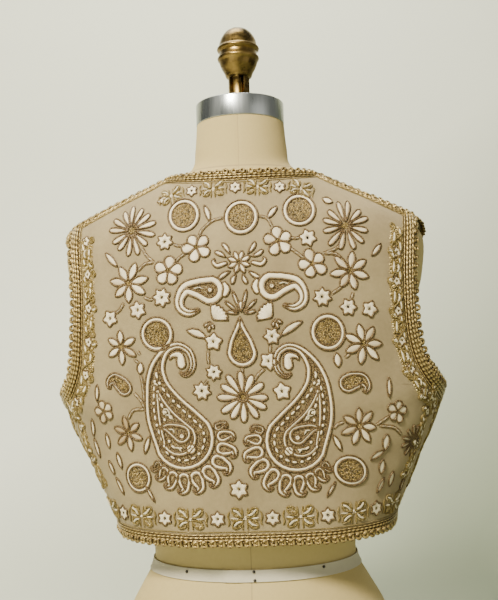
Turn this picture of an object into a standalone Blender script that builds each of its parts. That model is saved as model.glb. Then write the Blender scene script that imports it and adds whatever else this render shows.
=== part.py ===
# Embroidered short waistcoat, worn open on a limbless linen-covered dress form.
# Metres, +Z up. The form stands on its flat underside at z = 0, with its axis on x = y = 0.
# The wearer's back faces -Y and the two open fronts face +Y.

import math

import bmesh
import bpy

# Cloth
CLOTH_THICKNESS = 0.0016
SEAM_GAP = 0.0004
SHOULDER_SEAM_GAP = 0.0010
HEM_HEIGHT_CENTRE = 0.2385
HEM_HEIGHT_SIDE = 0.2450
UNDERARM_HEIGHT = 0.382
SHOULDER_TIP = (0.1820, 0.5660)
NECK_POINT = (0.0746, 0.6180)
NECKLINE_DIP = 0.0005
NECK_SHARE = 0.40
SWAY = 0.004
SWAY_TOP = 0.46
SWAY_BOTTOM = 0.37

# Front edges, as angles round the body from the centre of the back
FRONT_EDGE_ANGLE = 168.0
FRONT_CORNER_RISE = 0.022

# Braid
BRAID_WIDTH = 0.0100
BRAID_THICKNESS = 0.0015
BRAID_GAP = 0.0007
BRAID_OVERHANG = 0.0018
LOOP_REACH = 0.0052
LOOP_PITCH = 0.0096
LOOP_PROFILE = (0.0, 1.0)
FRONT_BRAID_CLEAR = 0.011
FRONT_BRAID_STEP = 0.012

# Mesh density
BACK_COLUMNS = 36
BACK_ROWS = 24
FRONT_COLUMNS = 14
FRONT_ROWS = 22
ROW_CROWDING = 1.5
FORM_SIDES = 40
TURNED_STEPS = 28

# Dress form
FORM_HEIGHT = 0.6775
NECK_TILT = math.radians(6.0)
NECK_TILT_START = 0.618
PLATE_RADIUS = 0.0488
PLATE_HEIGHT = 0.0235
PLATE_SHIFT = 0.009
SEAT_GAP = 0.0003
TAPE_TOP = 0.2062
TAPE_WIDTH = 0.0120
TAPE_THICKNESS = 0.0009

# The rings that the cloth hangs on: height, half width, depth of the back, depth of the front, squareness
CLOTH_RINGS = [
    {"height": 0.235, "half_width": 0.1430, "back": 0.1120, "front": 0.1180, "square": 2.70},
    {"height": 0.260, "half_width": 0.1540, "back": 0.1130, "front": 0.1200, "square": 2.65},
    {"height": 0.300, "half_width": 0.1710, "back": 0.1145, "front": 0.1230, "square": 2.55},
    {"height": 0.340, "half_width": 0.1880, "back": 0.1160, "front": 0.1270, "square": 2.50},
    {"height": 0.382, "half_width": 0.2065, "back": 0.1170, "front": 0.1290, "square": 2.45},
    {"height": 0.430, "half_width": 0.2040, "back": 0.1175, "front": 0.1270, "square": 2.40},
    {"height": 0.480, "half_width": 0.2010, "back": 0.1165, "front": 0.1190, "square": 2.35},
    {"height": 0.520, "half_width": 0.2000, "back": 0.1110, "front": 0.1050, "square": 2.30},
    {"height": 0.548, "half_width": 0.1985, "back": 0.1035, "front": 0.0930, "square": 2.20},
    {"height": 0.566, "half_width": 0.1860, "back": 0.0960, "front": 0.0840, "square": 2.10},
    {"height": 0.580, "half_width": 0.1640, "back": 0.0875, "front": 0.0770, "square": 2.05},
    {"height": 0.600, "half_width": 0.1205, "back": 0.0730, "front": 0.0680, "square": 2.00},
    {"height": 0.610, "half_width": 0.0985, "back": 0.0650, "front": 0.0640, "square": 2.00},
    {"height": 0.618, "half_width": 0.0800, "back": 0.0585, "front": 0.0610, "square": 2.00},
    {"height": 0.626, "half_width": 0.0720, "back": 0.0560, "front": 0.0590, "square": 2.00},
]

# The dress form's own rings, with the shift of each ring towards the front
FORM_RINGS = [
    {"height": 0.000, "half_width": 0.1680, "back": 0.1250, "front": 0.1130, "square": 2.15, "shift": 0.0},
    {"height": 0.050, "half_width": 0.1690, "back": 0.1280, "front": 0.1150, "square": 2.15, "shift": 0.0},
    {"height": 0.100, "half_width": 0.1590, "back": 0.1190, "front": 0.1070, "square": 2.15, "shift": 0.0},
    {"height": 0.150, "half_width": 0.1400, "back": 0.1040, "front": 0.0950, "square": 2.10, "shift": 0.0},
    {"height": 0.180, "half_width": 0.1235, "back": 0.0925, "front": 0.0870, "square": 2.10, "shift": 0.0},
    {"height": 0.203, "half_width": 0.1115, "back": 0.0835, "front": 0.0820, "square": 2.05, "shift": 0.0},
    {"height": 0.230, "half_width": 0.1125, "back": 0.0845, "front": 0.0850, "square": 2.05, "shift": 0.0},
    {"height": 0.270, "half_width": 0.1220, "back": 0.0900, "front": 0.0960, "square": 2.10, "shift": 0.0},
    {"height": 0.320, "half_width": 0.1370, "back": 0.0980, "front": 0.1100, "square": 2.15, "shift": 0.0},
    {"height": 0.370, "half_width": 0.1490, "back": 0.1050, "front": 0.1190, "square": 2.20, "shift": 0.0},
    {"height": 0.420, "half_width": 0.1560, "back": 0.1090, "front": 0.1170, "square": 2.20, "shift": 0.0},
    {"height": 0.455, "half_width": 0.1650, "back": 0.1105, "front": 0.1120, "square": 2.20, "shift": 0.0},
    {"height": 0.482, "half_width": 0.1860, "back": 0.1100, "front": 0.1080, "square": 2.20, "shift": 0.0},
    {"height": 0.520, "half_width": 0.1950, "back": 0.1060, "front": 0.1000, "square": 2.20, "shift": 0.0},
    {"height": 0.548, "half_width": 0.1945, "back": 0.0990, "front": 0.0885, "square": 2.15, "shift": 0.0},
    {"height": 0.5655, "half_width": 0.1800, "back": 0.0920, "front": 0.0800, "square": 2.10, "shift": 0.0},
    {"height": 0.580, "half_width": 0.1580, "back": 0.0840, "front": 0.0730, "square": 2.05, "shift": 0.0},
    {"height": 0.600, "half_width": 0.1142, "back": 0.0690, "front": 0.0630, "square": 2.00, "shift": 0.0},
    {"height": 0.610, "half_width": 0.0922, "back": 0.0610, "front": 0.0590, "square": 2.00, "shift": 0.0},
    {"height": 0.618, "half_width": 0.0740, "back": 0.0545, "front": 0.0565, "square": 2.00, "shift": 0.001},
    {"height": 0.630, "half_width": 0.0550, "back": 0.0490, "front": 0.0520, "square": 2.00, "shift": 0.003},
    {"height": 0.650, "half_width": 0.0510, "back": 0.0480, "front": 0.0490, "square": 2.00, "shift": 0.006},
    {"height": 0.6775, "half_width": 0.0486, "back": 0.0480, "front": 0.0480, "square": 2.00, "shift": 0.009},
]

# The armhole's edge in the back panel: height and distance from the middle
BACK_ARMHOLE = [
    {"height": 0.382, "half_width": 0.2065},
    {"height": 0.390, "half_width": 0.1995},
    {"height": 0.402, "half_width": 0.1900},
    {"height": 0.418, "half_width": 0.1825},
    {"height": 0.440, "half_width": 0.1785},
    {"height": 0.470, "half_width": 0.1765},
    {"height": 0.500, "half_width": 0.1765},
    {"height": 0.530, "half_width": 0.1785},
    {"height": 0.566, "half_width": 0.1820},
]

# The armhole's edge in the front panel: height and angle from the centre of the back
FRONT_ARMHOLE = [
    {"height": 0.382, "angle": 90.0},
    {"height": 0.391, "angle": 97.0},
    {"height": 0.405, "angle": 104.5},
    {"height": 0.425, "angle": 110.0},
    {"height": 0.450, "angle": 113.0},
    {"height": 0.485, "angle": 113.5},
    {"height": 0.520, "angle": 109.0},
    {"height": 0.548, "angle": 98.0},
    {"height": 0.566, "angle": 83.5},
]

# The front neckline and the front edge: height and angle, from the hem up to the shoulder
FRONT_OPENING = [
    {"height": 0.262, "angle": 168.0},
    {"height": 0.330, "angle": 168.5},
    {"height": 0.400, "angle": 168.0},
    {"height": 0.450, "angle": 165.0},
    {"height": 0.500, "angle": 157.0},
    {"height": 0.545, "angle": 144.0},
    {"height": 0.580, "angle": 126.0},
    {"height": 0.602, "angle": 103.0},
    {"height": 0.618, "angle": 74.9},
]

# The knob's outline from its top down: height above the plate and radius
FINIAL_OUTLINE = [
    {"height": 0.0890, "radius": 0.0000},
    {"height": 0.0885, "radius": 0.0060},
    {"height": 0.0860, "radius": 0.0115},
    {"height": 0.0810, "radius": 0.0165},
    {"height": 0.0740, "radius": 0.0200},
    {"height": 0.0680, "radius": 0.0212},
    {"height": 0.0662, "radius": 0.0228},
    {"height": 0.0645, "radius": 0.0236},
    {"height": 0.0625, "radius": 0.0228},
    {"height": 0.0608, "radius": 0.0209},
    {"height": 0.0575, "radius": 0.0209},
    {"height": 0.0555, "radius": 0.0226},
    {"height": 0.0535, "radius": 0.0233},
    {"height": 0.0510, "radius": 0.0225},
    {"height": 0.0490, "radius": 0.0212},
    {"height": 0.0450, "radius": 0.0202},
    {"height": 0.0400, "radius": 0.0178},
    {"height": 0.0350, "radius": 0.0150},
    {"height": 0.0325, "radius": 0.0146},
    {"height": 0.0310, "radius": 0.0120},
    {"height": 0.0100, "radius": 0.0116},
    {"height": 0.0070, "radius": 0.0132},
    {"height": 0.0040, "radius": 0.0165},
    {"height": 0.0000, "radius": 0.0170},
    {"height": 0.0000, "radius": 0.0000},
]


def clear_scene():
    for item in list(bpy.data.objects):
        bpy.data.objects.remove(item, do_unlink=True)


def read_table(table, key, height):
    """Smooth value of one column at a height, through the table's own rows."""
    rows = table
    if height <= rows[0]["height"]:
        return rows[0][key]
    if height >= rows[-1]["height"]:
        return rows[-1][key]
    index = 0
    while rows[index + 1]["height"] < height:
        index += 1
    low, high = rows[index], rows[index + 1]
    span = high["height"] - low["height"]
    share = (height - low["height"]) / span

    def slope(at):
        before = rows[max(at - 1, 0)]
        after = rows[min(at + 1, len(rows) - 1)]
        return (after[key] - before[key]) / (after["height"] - before["height"])

    cube, square = share ** 3, share ** 2
    return (
        (2 * cube - 3 * square + 1) * low[key]
        + (cube - 2 * square + share) * span * slope(index)
        + (3 * square - 2 * cube) * high[key]
        + (cube - square) * span * slope(index + 1)
    )


def smooth_step(share):
    share = min(max(share, 0.0), 1.0)
    return share * share * (3 - 2 * share)


def sway_at(height):
    """The garment hangs a little towards +X below the armholes."""
    return SWAY * smooth_step((SWAY_TOP - height) / (SWAY_TOP - SWAY_BOTTOM))


def ring_radius(table, angle, height):
    """Distance from the axis to a rounded-square ring, at an angle from the centre of the back."""
    depth_key = "back" if math.cos(angle) > 0 else "front"
    power = read_table(table, "square", height)
    across = abs(math.sin(angle)) / read_table(table, "half_width", height)
    along = abs(math.cos(angle)) / read_table(table, depth_key, height)
    return (across ** power + along ** power) ** (-1 / power)


def cloth_point(angle, height):
    radius = ring_radius(CLOTH_RINGS, angle, height)
    x = radius * math.sin(angle) + sway_at(height)
    return (x, -radius * math.cos(angle), height)


def back_angle(half_width, height):
    """The angle at which the back of a cloth ring stands this far from the middle."""
    power = read_table(CLOTH_RINGS, "square", height)
    share = min(half_width / read_table(CLOTH_RINGS, "half_width", height), 1.0)
    depth = read_table(CLOTH_RINGS, "back", height) * (1 - share ** power) ** (1 / power)
    return math.atan2(half_width, depth)


def shoulder_seam(share):
    """Distance from the middle and height along the seam, from the neck (0) to the tip (1)."""
    x = NECK_POINT[0] + (SHOULDER_TIP[0] - NECK_POINT[0]) * share
    z = NECK_POINT[1] + (SHOULDER_TIP[1] - NECK_POINT[1]) * share
    return x, z


def hem_height(share):
    """Hem height at a share of the way from the centre of the back to the side seam."""
    return HEM_HEIGHT_CENTRE + (HEM_HEIGHT_SIDE - HEM_HEIGHT_CENTRE) * abs(share) ** 3


def back_top(share):
    """Distance from the middle and height of the top edge: half neckline, then shoulder seam."""
    share = abs(share)
    if share <= NECK_SHARE:
        part = share / NECK_SHARE
        return NECK_POINT[0] * part, NECK_POINT[1] + NECKLINE_DIP * (1 - part ** 2)
    return shoulder_seam((share - NECK_SHARE) / (1 - NECK_SHARE))


def back_panel_point(u, v):
    """u runs -1 to 1 from side to side, v runs 0 to 1 from the hem to the neck and shoulders."""
    side = 1.0 if u >= 0 else -1.0
    share = abs(u)
    side_height = HEM_HEIGHT_SIDE * (1 - v) + SHOULDER_TIP[1] * v
    top_x, top_height = back_top(share)
    height = hem_height(share) * (1 - v) + top_height * v
    if side_height <= UNDERARM_HEIGHT:
        reach = read_table(CLOTH_RINGS, "half_width", side_height)
        end_angle = math.pi / 2
    else:
        reach = read_table(BACK_ARMHOLE, "half_width", side_height)
        end_angle = back_angle(reach, side_height)
    angle = share * end_angle
    low_x = ring_radius(CLOTH_RINGS, angle, height) * math.sin(angle)
    high_x = top_x * reach / SHOULDER_TIP[0]
    armhole_start = (UNDERARM_HEIGHT - HEM_HEIGHT_SIDE) / (SHOULDER_TIP[1] - HEM_HEIGHT_SIDE)
    blend = smooth_step((v - armhole_start) / (1 - armhole_start))
    x = low_x * (1 - blend) + high_x * blend
    point = cloth_point(back_angle(x, height), height)
    lean = sway_at(height)
    return (side * (point[0] - lean) + lean, point[1], point[2])


def front_side_edge(v):
    """Angle and height up the side seam and then the armhole, for v from the hem to the shoulder."""
    height = HEM_HEIGHT_SIDE * (1 - v) + SHOULDER_TIP[1] * v
    angle = 90.0 if height <= UNDERARM_HEIGHT else read_table(FRONT_ARMHOLE, "angle", height)
    gap = math.degrees(SEAM_GAP / ring_radius(CLOTH_RINGS, math.radians(angle), height))
    return angle + gap, height


def front_opening_edge(v):
    low = FRONT_OPENING[0]["height"]
    height = low * (1 - v) + NECK_POINT[1] * v
    return read_table(FRONT_OPENING, "angle", height), height


def front_hem_edge(u):
    """The hem from the side seam (0) to the rounded front corner (1)."""
    start = front_side_edge(0.0)[0]
    angle = start + (FRONT_EDGE_ANGLE - start) * u
    corner = max(u - 0.72, 0.0) / 0.28
    height = HEM_HEIGHT_SIDE + FRONT_CORNER_RISE * (1 - math.sqrt(1 - corner ** 2))
    end = FRONT_OPENING[0]["height"]
    return angle, height + (end - HEM_HEIGHT_SIDE - FRONT_CORNER_RISE) * u


def front_seam_edge(u):
    """The shoulder seam from the tip (0) to the neck (1)."""
    x, height = shoulder_seam(1 - u)
    angle = back_angle(x, height)
    radius = ring_radius(CLOTH_RINGS, angle, height)
    return math.degrees(angle + SHOULDER_SEAM_GAP / radius), height


def front_panel_point(side, u, v):
    """u runs 0 to 1 from the side to the front edge, v runs 0 to 1 from the hem to the shoulder."""
    hem, seam = front_hem_edge(u), front_seam_edge(u)
    outer, inner = front_side_edge(v), front_opening_edge(v)
    corners = (front_hem_edge(0), front_hem_edge(1), front_seam_edge(0), front_seam_edge(1))
    place = []
    for axis in range(2):
        across = (1 - v) * hem[axis] + v * seam[axis]
        along = (1 - u) * outer[axis] + u * inner[axis]
        flat = (1 - v) * ((1 - u) * corners[0][axis] + u * corners[1][axis])
        flat += v * ((1 - u) * corners[2][axis] + u * corners[3][axis])
        place.append(across + along - flat)
    angle, height = math.radians(place[0]), place[1]
    x, y, z = cloth_point(angle, height)
    lean = sway_at(height)
    return (side * (x - lean) + lean, y, z)


def make_material(name, colour, roughness, metallic):
    material = bpy.data.materials.new(name)
    material.use_nodes = True
    shader = material.node_tree.nodes["Principled BSDF"]
    shader.inputs["Base Color"].default_value = (*colour, 1.0)
    shader.inputs["Roughness"].default_value = roughness
    shader.inputs["Metallic"].default_value = metallic
    return material


def finish_object(mesh, name, collection, material):
    item = bpy.data.objects.new(name, mesh)
    collection.objects.link(item)
    item.data.materials.append(material)
    mesh.shade_smooth()
    mesh.set_sharp_from_angle(angle=math.radians(35))
    return item


def add_wall(item, thickness, offset):
    wall = item.modifiers.new("Wall", "SOLIDIFY")
    wall.thickness = thickness
    wall.offset = offset
    return wall


def closer_rows(share):
    """Rows of a panel lie closer together towards the bent shoulder."""
    return 1 - (1 - share) ** ROW_CROWDING


def panel_mesh(name, columns, rows, place, flip):
    """A flat grid whose points are moved onto the body; place takes shares 0 to 1."""
    work = bmesh.new()
    bmesh.ops.create_grid(work, x_segments=columns, y_segments=rows, size=0.5)
    for vertex in work.verts:
        vertex.co = place(vertex.co.x + 0.5, closer_rows(vertex.co.y + 0.5))
    if flip:
        bmesh.ops.reverse_faces(work, faces=work.faces[:])
    mesh = bpy.data.meshes.new(name)
    work.to_mesh(mesh)
    work.free()
    return mesh


def make_back(collection, material):
    mesh = panel_mesh("back", BACK_COLUMNS, BACK_ROWS, lambda s, t: back_panel_point(2 * s - 1, t), False)
    add_wall(finish_object(mesh, "back", collection, material), CLOTH_THICKNESS, 0.0)


def make_front(side, name, collection, material):
    mesh = panel_mesh(name, FRONT_COLUMNS, FRONT_ROWS, lambda s, t: front_panel_point(side, s, t), side < 0)
    add_wall(finish_object(mesh, name, collection, material), CLOTH_THICKNESS, 0.0)


def vector_between(start, end):
    return [e - s for s, e in zip(start, end)]


def length_of(vector):
    return math.sqrt(sum(part * part for part in vector))


def outward(point_at, u, v, sign):
    """Unit normal of a panel, pointing away from the body."""
    step = 0.004
    u_low, u_high = max(u - step, -1.0), min(u + step, 1.0)
    v_low, v_high = max(v - step, 0.0), min(v + step, 1.0)
    run = vector_between(point_at(u_low, v), point_at(u_high, v))
    rise = vector_between(point_at(u, v_low), point_at(u, v_high))
    normal = [
        run[1] * rise[2] - run[2] * rise[1],
        run[2] * rise[0] - run[0] * rise[2],
        run[0] * rise[1] - run[1] * rise[0],
    ]
    size = length_of(normal)
    return [sign * part / size for part in normal]


def moved(point, direction, distance):
    return [p + d * distance for p, d in zip(point, direction)]


def braid_sections(point_at, edge, inner, reach_at, sign):
    """Rows of points along an edge: the braid's inner line, its middle and its outer, looped line."""
    rows = []
    for index, (place, inset) in enumerate(zip(edge, inner)):
        edge_point = point_at(*place)
        inset_point = point_at(*inset)
        inward = vector_between(edge_point, inset_point)
        size = length_of(inward)
        inward = [part / size for part in inward]
        lift = CLOTH_THICKNESS / 2 + BRAID_GAP
        edge_up = outward(point_at, *place, sign)
        inner_up = outward(point_at, *inset, sign)
        middle = tuple((a + b) / 2 for a, b in zip(place, inset))
        rows.append((
            moved(inset_point, inner_up, lift),
            moved(point_at(*middle), outward(point_at, *middle, sign), lift),
            moved(moved(edge_point, inward, -reach_at(index)), edge_up, lift),
        ))
    return rows


def strip_mesh(name, rows, closed):
    """A band two faces wide, lofted through its rows of points."""
    work = bmesh.new()
    count = len(rows)
    lines = [[work.verts.new(point) for point in row] for row in rows]
    for index in range(count if closed else count - 1):
        near, far = lines[index], lines[(index + 1) % count]
        for across in range(len(near) - 1):
            work.faces.new((near[across], far[across], far[across + 1], near[across + 1]))
    work.normal_update()
    facing = sum(
        face.normal.x * face.calc_center_median().x + face.normal.y * face.calc_center_median().y
        for face in work.faces
    )
    if facing < 0:
        bmesh.ops.reverse_faces(work, faces=work.faces[:])
    mesh = bpy.data.meshes.new(name)
    work.to_mesh(mesh)
    work.free()
    return mesh


def even_path(point_at, corners, spacing, closed):
    """Places along straight runs in a panel's own shares, evenly spaced on the body."""
    fine = []
    runs = list(zip(corners, corners[1:]))
    for start, end in runs:
        for step in range(60):
            share = step / 60
            fine.append((start[0] + (end[0] - start[0]) * share, start[1] + (end[1] - start[1]) * share))
    fine.append(corners[-1])
    points = [point_at(*place) for place in fine]
    travelled = [0.0]
    for before, after in zip(points, points[1:]):
        travelled.append(travelled[-1] + length_of(vector_between(before, after)))
    count = max(int(round(travelled[-1] / spacing)), 1)
    places = []
    cursor = 0
    for index in range(count if closed else count + 1):
        target = travelled[-1] * index / count
        while cursor < len(travelled) - 2 and travelled[cursor + 1] < target:
            cursor += 1
        part = (target - travelled[cursor]) / (travelled[cursor + 1] - travelled[cursor])
        start, end = fine[cursor], fine[cursor + 1]
        places.append((start[0] + (end[0] - start[0]) * part, start[1] + (end[1] - start[1]) * part))
    return places


def make_back_braid(collection, material):
    """One band round the back panel, with loops past its edge."""
    corners = [(-1, 0), (1, 0), (1, 1), (-1, 1), (-1, 0)]
    edge = even_path(back_panel_point, corners, LOOP_PITCH / len(LOOP_PROFILE), True)
    edge = edge[: len(edge) - len(edge) % len(LOOP_PROFILE)]
    width_share = BRAID_WIDTH / 0.20
    height_share = BRAID_WIDTH / 0.35
    inner = [(u * (1 - width_share), 0.5 + (v - 0.5) * (1 - 2 * height_share)) for u, v in edge]

    def reach_at(index):
        return BRAID_OVERHANG + LOOP_REACH * LOOP_PROFILE[index % len(LOOP_PROFILE)]

    rows = braid_sections(back_panel_point, edge, inner, reach_at, 1.0)
    mesh = strip_mesh("braid_back", rows, True)
    add_wall(finish_object(mesh, "braid_back", collection, material), BRAID_THICKNESS, 1.0)


def make_front_braids(side, names, collection, material):
    """Two bands on a front: down the neck, front edge and hem, and round the armhole."""
    def point_at(u, v):
        return front_panel_point(side, u, v)

    def reach_at(index):
        return BRAID_OVERHANG + LOOP_REACH / 2

    underarm = (UNDERARM_HEIGHT - HEM_HEIGHT_SIDE) / (SHOULDER_TIP[1] - HEM_HEIGHT_SIDE)
    height_share = FRONT_BRAID_CLEAR / 0.36
    routes = {
        names[0]: [(1, 1 - height_share * 1.3), (1, 0), (FRONT_BRAID_CLEAR / 0.22, 0)],
        names[1]: [(0, underarm + height_share), (0, 1 - height_share * 1.3)],
    }
    for name, corners in routes.items():
        edge = even_path(point_at, corners, FRONT_BRAID_STEP, False)
        inner = []
        for u, v in edge:
            shift = BRAID_WIDTH / (0.20 - 0.10 * v)
            near = u - shift if name == names[0] else u + shift
            if name == names[0] and u < 1:
                near = u * (1 - shift * 0.6)
            rise = max(BRAID_WIDTH / 0.34 - v, 0) * (1 if name == names[0] else 0)
            inner.append((near, v + rise))
        rows = braid_sections(point_at, edge, inner, reach_at, side)
        mesh = strip_mesh(name, rows, False)
        add_wall(finish_object(mesh, name, collection, material), BRAID_THICKNESS, 1.0)


def form_point(angle, height, out):
    """A point of the dress form, moved out by a gap; the neck leans and tilts forward."""
    radius = ring_radius(FORM_RINGS, angle, height) + out
    x = radius * math.sin(angle)
    y = -radius * math.cos(angle)
    rise = smooth_step((height - NECK_TILT_START) / (FORM_HEIGHT - NECK_TILT_START))
    tilt = -y * math.tan(NECK_TILT) * rise
    return (x, y + read_table(FORM_RINGS, "shift", height), height + tilt)


def form_heights():
    """Ring heights: each table row, with one more ring in each wide gap."""
    heights = []
    rows = [row["height"] for row in FORM_RINGS]
    for low, high in zip(rows, rows[1:]):
        heights.append(low)
        if high - low > 0.045:
            heights.append((low + high) / 2)
    heights.append(rows[-1])
    heights += [TAPE_TOP, TAPE_TOP - TAPE_WIDTH]
    return sorted(heights)


def make_form(collection, material):
    """A ball whose rings are moved onto the form's own rings, flat below and on top."""
    heights = form_heights()
    work = bmesh.new()
    bmesh.ops.create_uvsphere(work, u_segments=FORM_SIDES, v_segments=len(heights) + 1, radius=1.0)
    for vertex in work.verts:
        turn = math.acos(max(-1.0, min(1.0, -vertex.co.z)))
        ring = round(turn / math.pi * (len(heights) + 1))
        if ring == 0:
            vertex.co = (0, 0, 0)
        elif ring == len(heights) + 1:
            vertex.co = (0, FORM_RINGS[-1]["shift"], FORM_HEIGHT)
        else:
            angle = math.atan2(vertex.co.x, -vertex.co.y)
            vertex.co = form_point(angle, heights[ring - 1], 0.0)
    mesh = bpy.data.meshes.new("form_torso")
    work.to_mesh(mesh)
    work.free()
    finish_object(mesh, "form_torso", collection, material)


def make_tape(collection, material):
    work = bmesh.new()
    bmesh.ops.create_cone(work, cap_ends=False, segments=FORM_SIDES, radius1=1.0, radius2=1.0, depth=TAPE_WIDTH)
    half_step = math.pi / FORM_SIDES
    bow = 1 / math.cos(half_step)
    for vertex in work.verts:
        angle = math.atan2(vertex.co.x, -vertex.co.y)
        height = TAPE_TOP - TAPE_WIDTH / 2 + vertex.co.z
        radius = ring_radius(FORM_RINGS, angle, height) * bow + 0.0004
        vertex.co = (radius * math.sin(angle), -radius * math.cos(angle), height)
    mesh = bpy.data.meshes.new("waist_tape")
    work.to_mesh(mesh)
    work.free()
    add_wall(finish_object(mesh, "waist_tape", collection, material), TAPE_THICKNESS, 1.0)


def plate_frame(height):
    """A point on the plate's own axis, which leans forward with the neck."""
    return (
        0.0,
        PLATE_SHIFT + height * math.sin(NECK_TILT),
        FORM_HEIGHT + SEAT_GAP + height * math.cos(NECK_TILT),
    )


def make_neck_plate(collection, material):
    bpy.ops.mesh.primitive_cylinder_add(vertices=48, radius=PLATE_RADIUS, depth=PLATE_HEIGHT)
    item = bpy.context.object
    item.name = "neck_plate"
    item.data.name = "neck_plate"
    item.location = plate_frame(PLATE_HEIGHT / 2)
    item.rotation_euler = (-NECK_TILT, 0, 0)
    bevel = item.modifiers.new("Edge", "BEVEL")
    bevel.width = 0.0010
    bevel.segments = 1
    bevel.limit_method = "ANGLE"
    item.data.materials.append(material)
    item.data.shade_smooth()
    item.data.set_sharp_from_angle(angle=math.radians(35))
    for owner in list(item.users_collection):
        owner.objects.unlink(item)
    collection.objects.link(item)


def make_finial(collection, material):
    mesh = bpy.data.meshes.new("finial")
    work = bmesh.new()
    rim = [work.verts.new((row["radius"], 0, row["height"])) for row in FINIAL_OUTLINE]
    for start, end in zip(rim, rim[1:]):
        work.edges.new((start, end))
    work.to_mesh(mesh)
    work.free()
    item = bpy.data.objects.new("finial", mesh)
    collection.objects.link(item)
    item.location = plate_frame(PLATE_HEIGHT + SEAT_GAP)
    item.rotation_euler = (-NECK_TILT, 0, 0)
    turn = item.modifiers.new("Turn", "SCREW")
    turn.axis = "Z"
    turn.steps = TURNED_STEPS
    turn.render_steps = TURNED_STEPS
    turn.use_merge_vertices = True
    turn.merge_threshold = 0.0001
    item.data.materials.append(material)


def main():
    clear_scene()
    collection = bpy.data.collections.new("embroidered_waistcoat")
    bpy.context.scene.collection.children.link(collection)
    cloth = make_material("embroidered_cloth", (0.56, 0.50, 0.40), 0.85, 0.0)
    gilt = make_material("gilt_braid", (0.36, 0.27, 0.12), 0.45, 0.7)
    linen = make_material("linen", (0.60, 0.53, 0.36), 0.9, 0.0)
    tape = make_material("twill_tape", (0.75, 0.72, 0.64), 0.9, 0.0)
    aluminium = make_material("aluminium", (0.62, 0.64, 0.65), 0.35, 1.0)
    brass = make_material("antique_brass", (0.30, 0.21, 0.08), 0.4, 1.0)

    make_back(collection, cloth)
    make_front(1.0, "front_right_of_view", collection, cloth)
    make_front(-1.0, "front_left_of_view", collection, cloth)
    make_back_braid(collection, gilt)
    make_front_braids(1.0, ("braid_opening_right", "braid_armhole_right"), collection, gilt)
    make_front_braids(-1.0, ("braid_opening_left", "braid_armhole_left"), collection, gilt)
    make_form(collection, linen)
    make_tape(collection, tape)
    make_neck_plate(collection, aluminium)
    make_finial(collection, brass)


main()
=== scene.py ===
# Embroidered short waistcoat on its linen-covered dress form, seen from the wearer's back.
# The embroidery is worked flat, in the cloth's own metres, and is then laid on the body.
import math
import bpy
import numpy as np
from mathutils import Matrix, Vector


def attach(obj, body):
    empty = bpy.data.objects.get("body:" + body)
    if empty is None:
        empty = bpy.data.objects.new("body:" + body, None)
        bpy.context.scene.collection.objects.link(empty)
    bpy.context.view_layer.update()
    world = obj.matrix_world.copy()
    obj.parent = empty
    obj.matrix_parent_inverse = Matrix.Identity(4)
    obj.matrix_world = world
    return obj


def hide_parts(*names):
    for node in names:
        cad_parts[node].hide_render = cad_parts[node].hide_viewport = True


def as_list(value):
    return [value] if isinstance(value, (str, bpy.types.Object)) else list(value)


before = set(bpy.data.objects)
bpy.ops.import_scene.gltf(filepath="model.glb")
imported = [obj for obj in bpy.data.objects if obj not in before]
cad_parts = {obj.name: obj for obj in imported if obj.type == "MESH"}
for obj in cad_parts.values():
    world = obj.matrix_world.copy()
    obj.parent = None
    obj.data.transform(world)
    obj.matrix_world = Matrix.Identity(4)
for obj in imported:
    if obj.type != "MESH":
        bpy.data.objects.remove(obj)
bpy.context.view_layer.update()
bpy.ops.object.select_all(action="DESELECT")
print("stage: frame loaded")

# The rings that the cloth hangs on, from the hem up
clothRings = [
    {"height": 0.235, "halfWidth": 0.1430, "back": 0.1120, "front": 0.1180, "square": 2.70},
    {"height": 0.260, "halfWidth": 0.1540, "back": 0.1130, "front": 0.1200, "square": 2.65},
    {"height": 0.300, "halfWidth": 0.1710, "back": 0.1145, "front": 0.1230, "square": 2.55},
    {"height": 0.340, "halfWidth": 0.1880, "back": 0.1160, "front": 0.1270, "square": 2.50},
    {"height": 0.382, "halfWidth": 0.2065, "back": 0.1170, "front": 0.1290, "square": 2.45},
    {"height": 0.430, "halfWidth": 0.2040, "back": 0.1175, "front": 0.1270, "square": 2.40},
    {"height": 0.480, "halfWidth": 0.2010, "back": 0.1165, "front": 0.1190, "square": 2.35},
    {"height": 0.520, "halfWidth": 0.2000, "back": 0.1110, "front": 0.1050, "square": 2.30},
    {"height": 0.548, "halfWidth": 0.1985, "back": 0.1035, "front": 0.0930, "square": 2.20},
    {"height": 0.566, "halfWidth": 0.1860, "back": 0.0960, "front": 0.0840, "square": 2.10},
    {"height": 0.580, "halfWidth": 0.1640, "back": 0.0875, "front": 0.0770, "square": 2.05},
    {"height": 0.600, "halfWidth": 0.1205, "back": 0.0730, "front": 0.0680, "square": 2.00},
    {"height": 0.610, "halfWidth": 0.0985, "back": 0.0650, "front": 0.0640, "square": 2.00},
    {"height": 0.618, "halfWidth": 0.0800, "back": 0.0585, "front": 0.0610, "square": 2.00},
    {"height": 0.626, "halfWidth": 0.0720, "back": 0.0560, "front": 0.0590, "square": 2.00},
]
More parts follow.
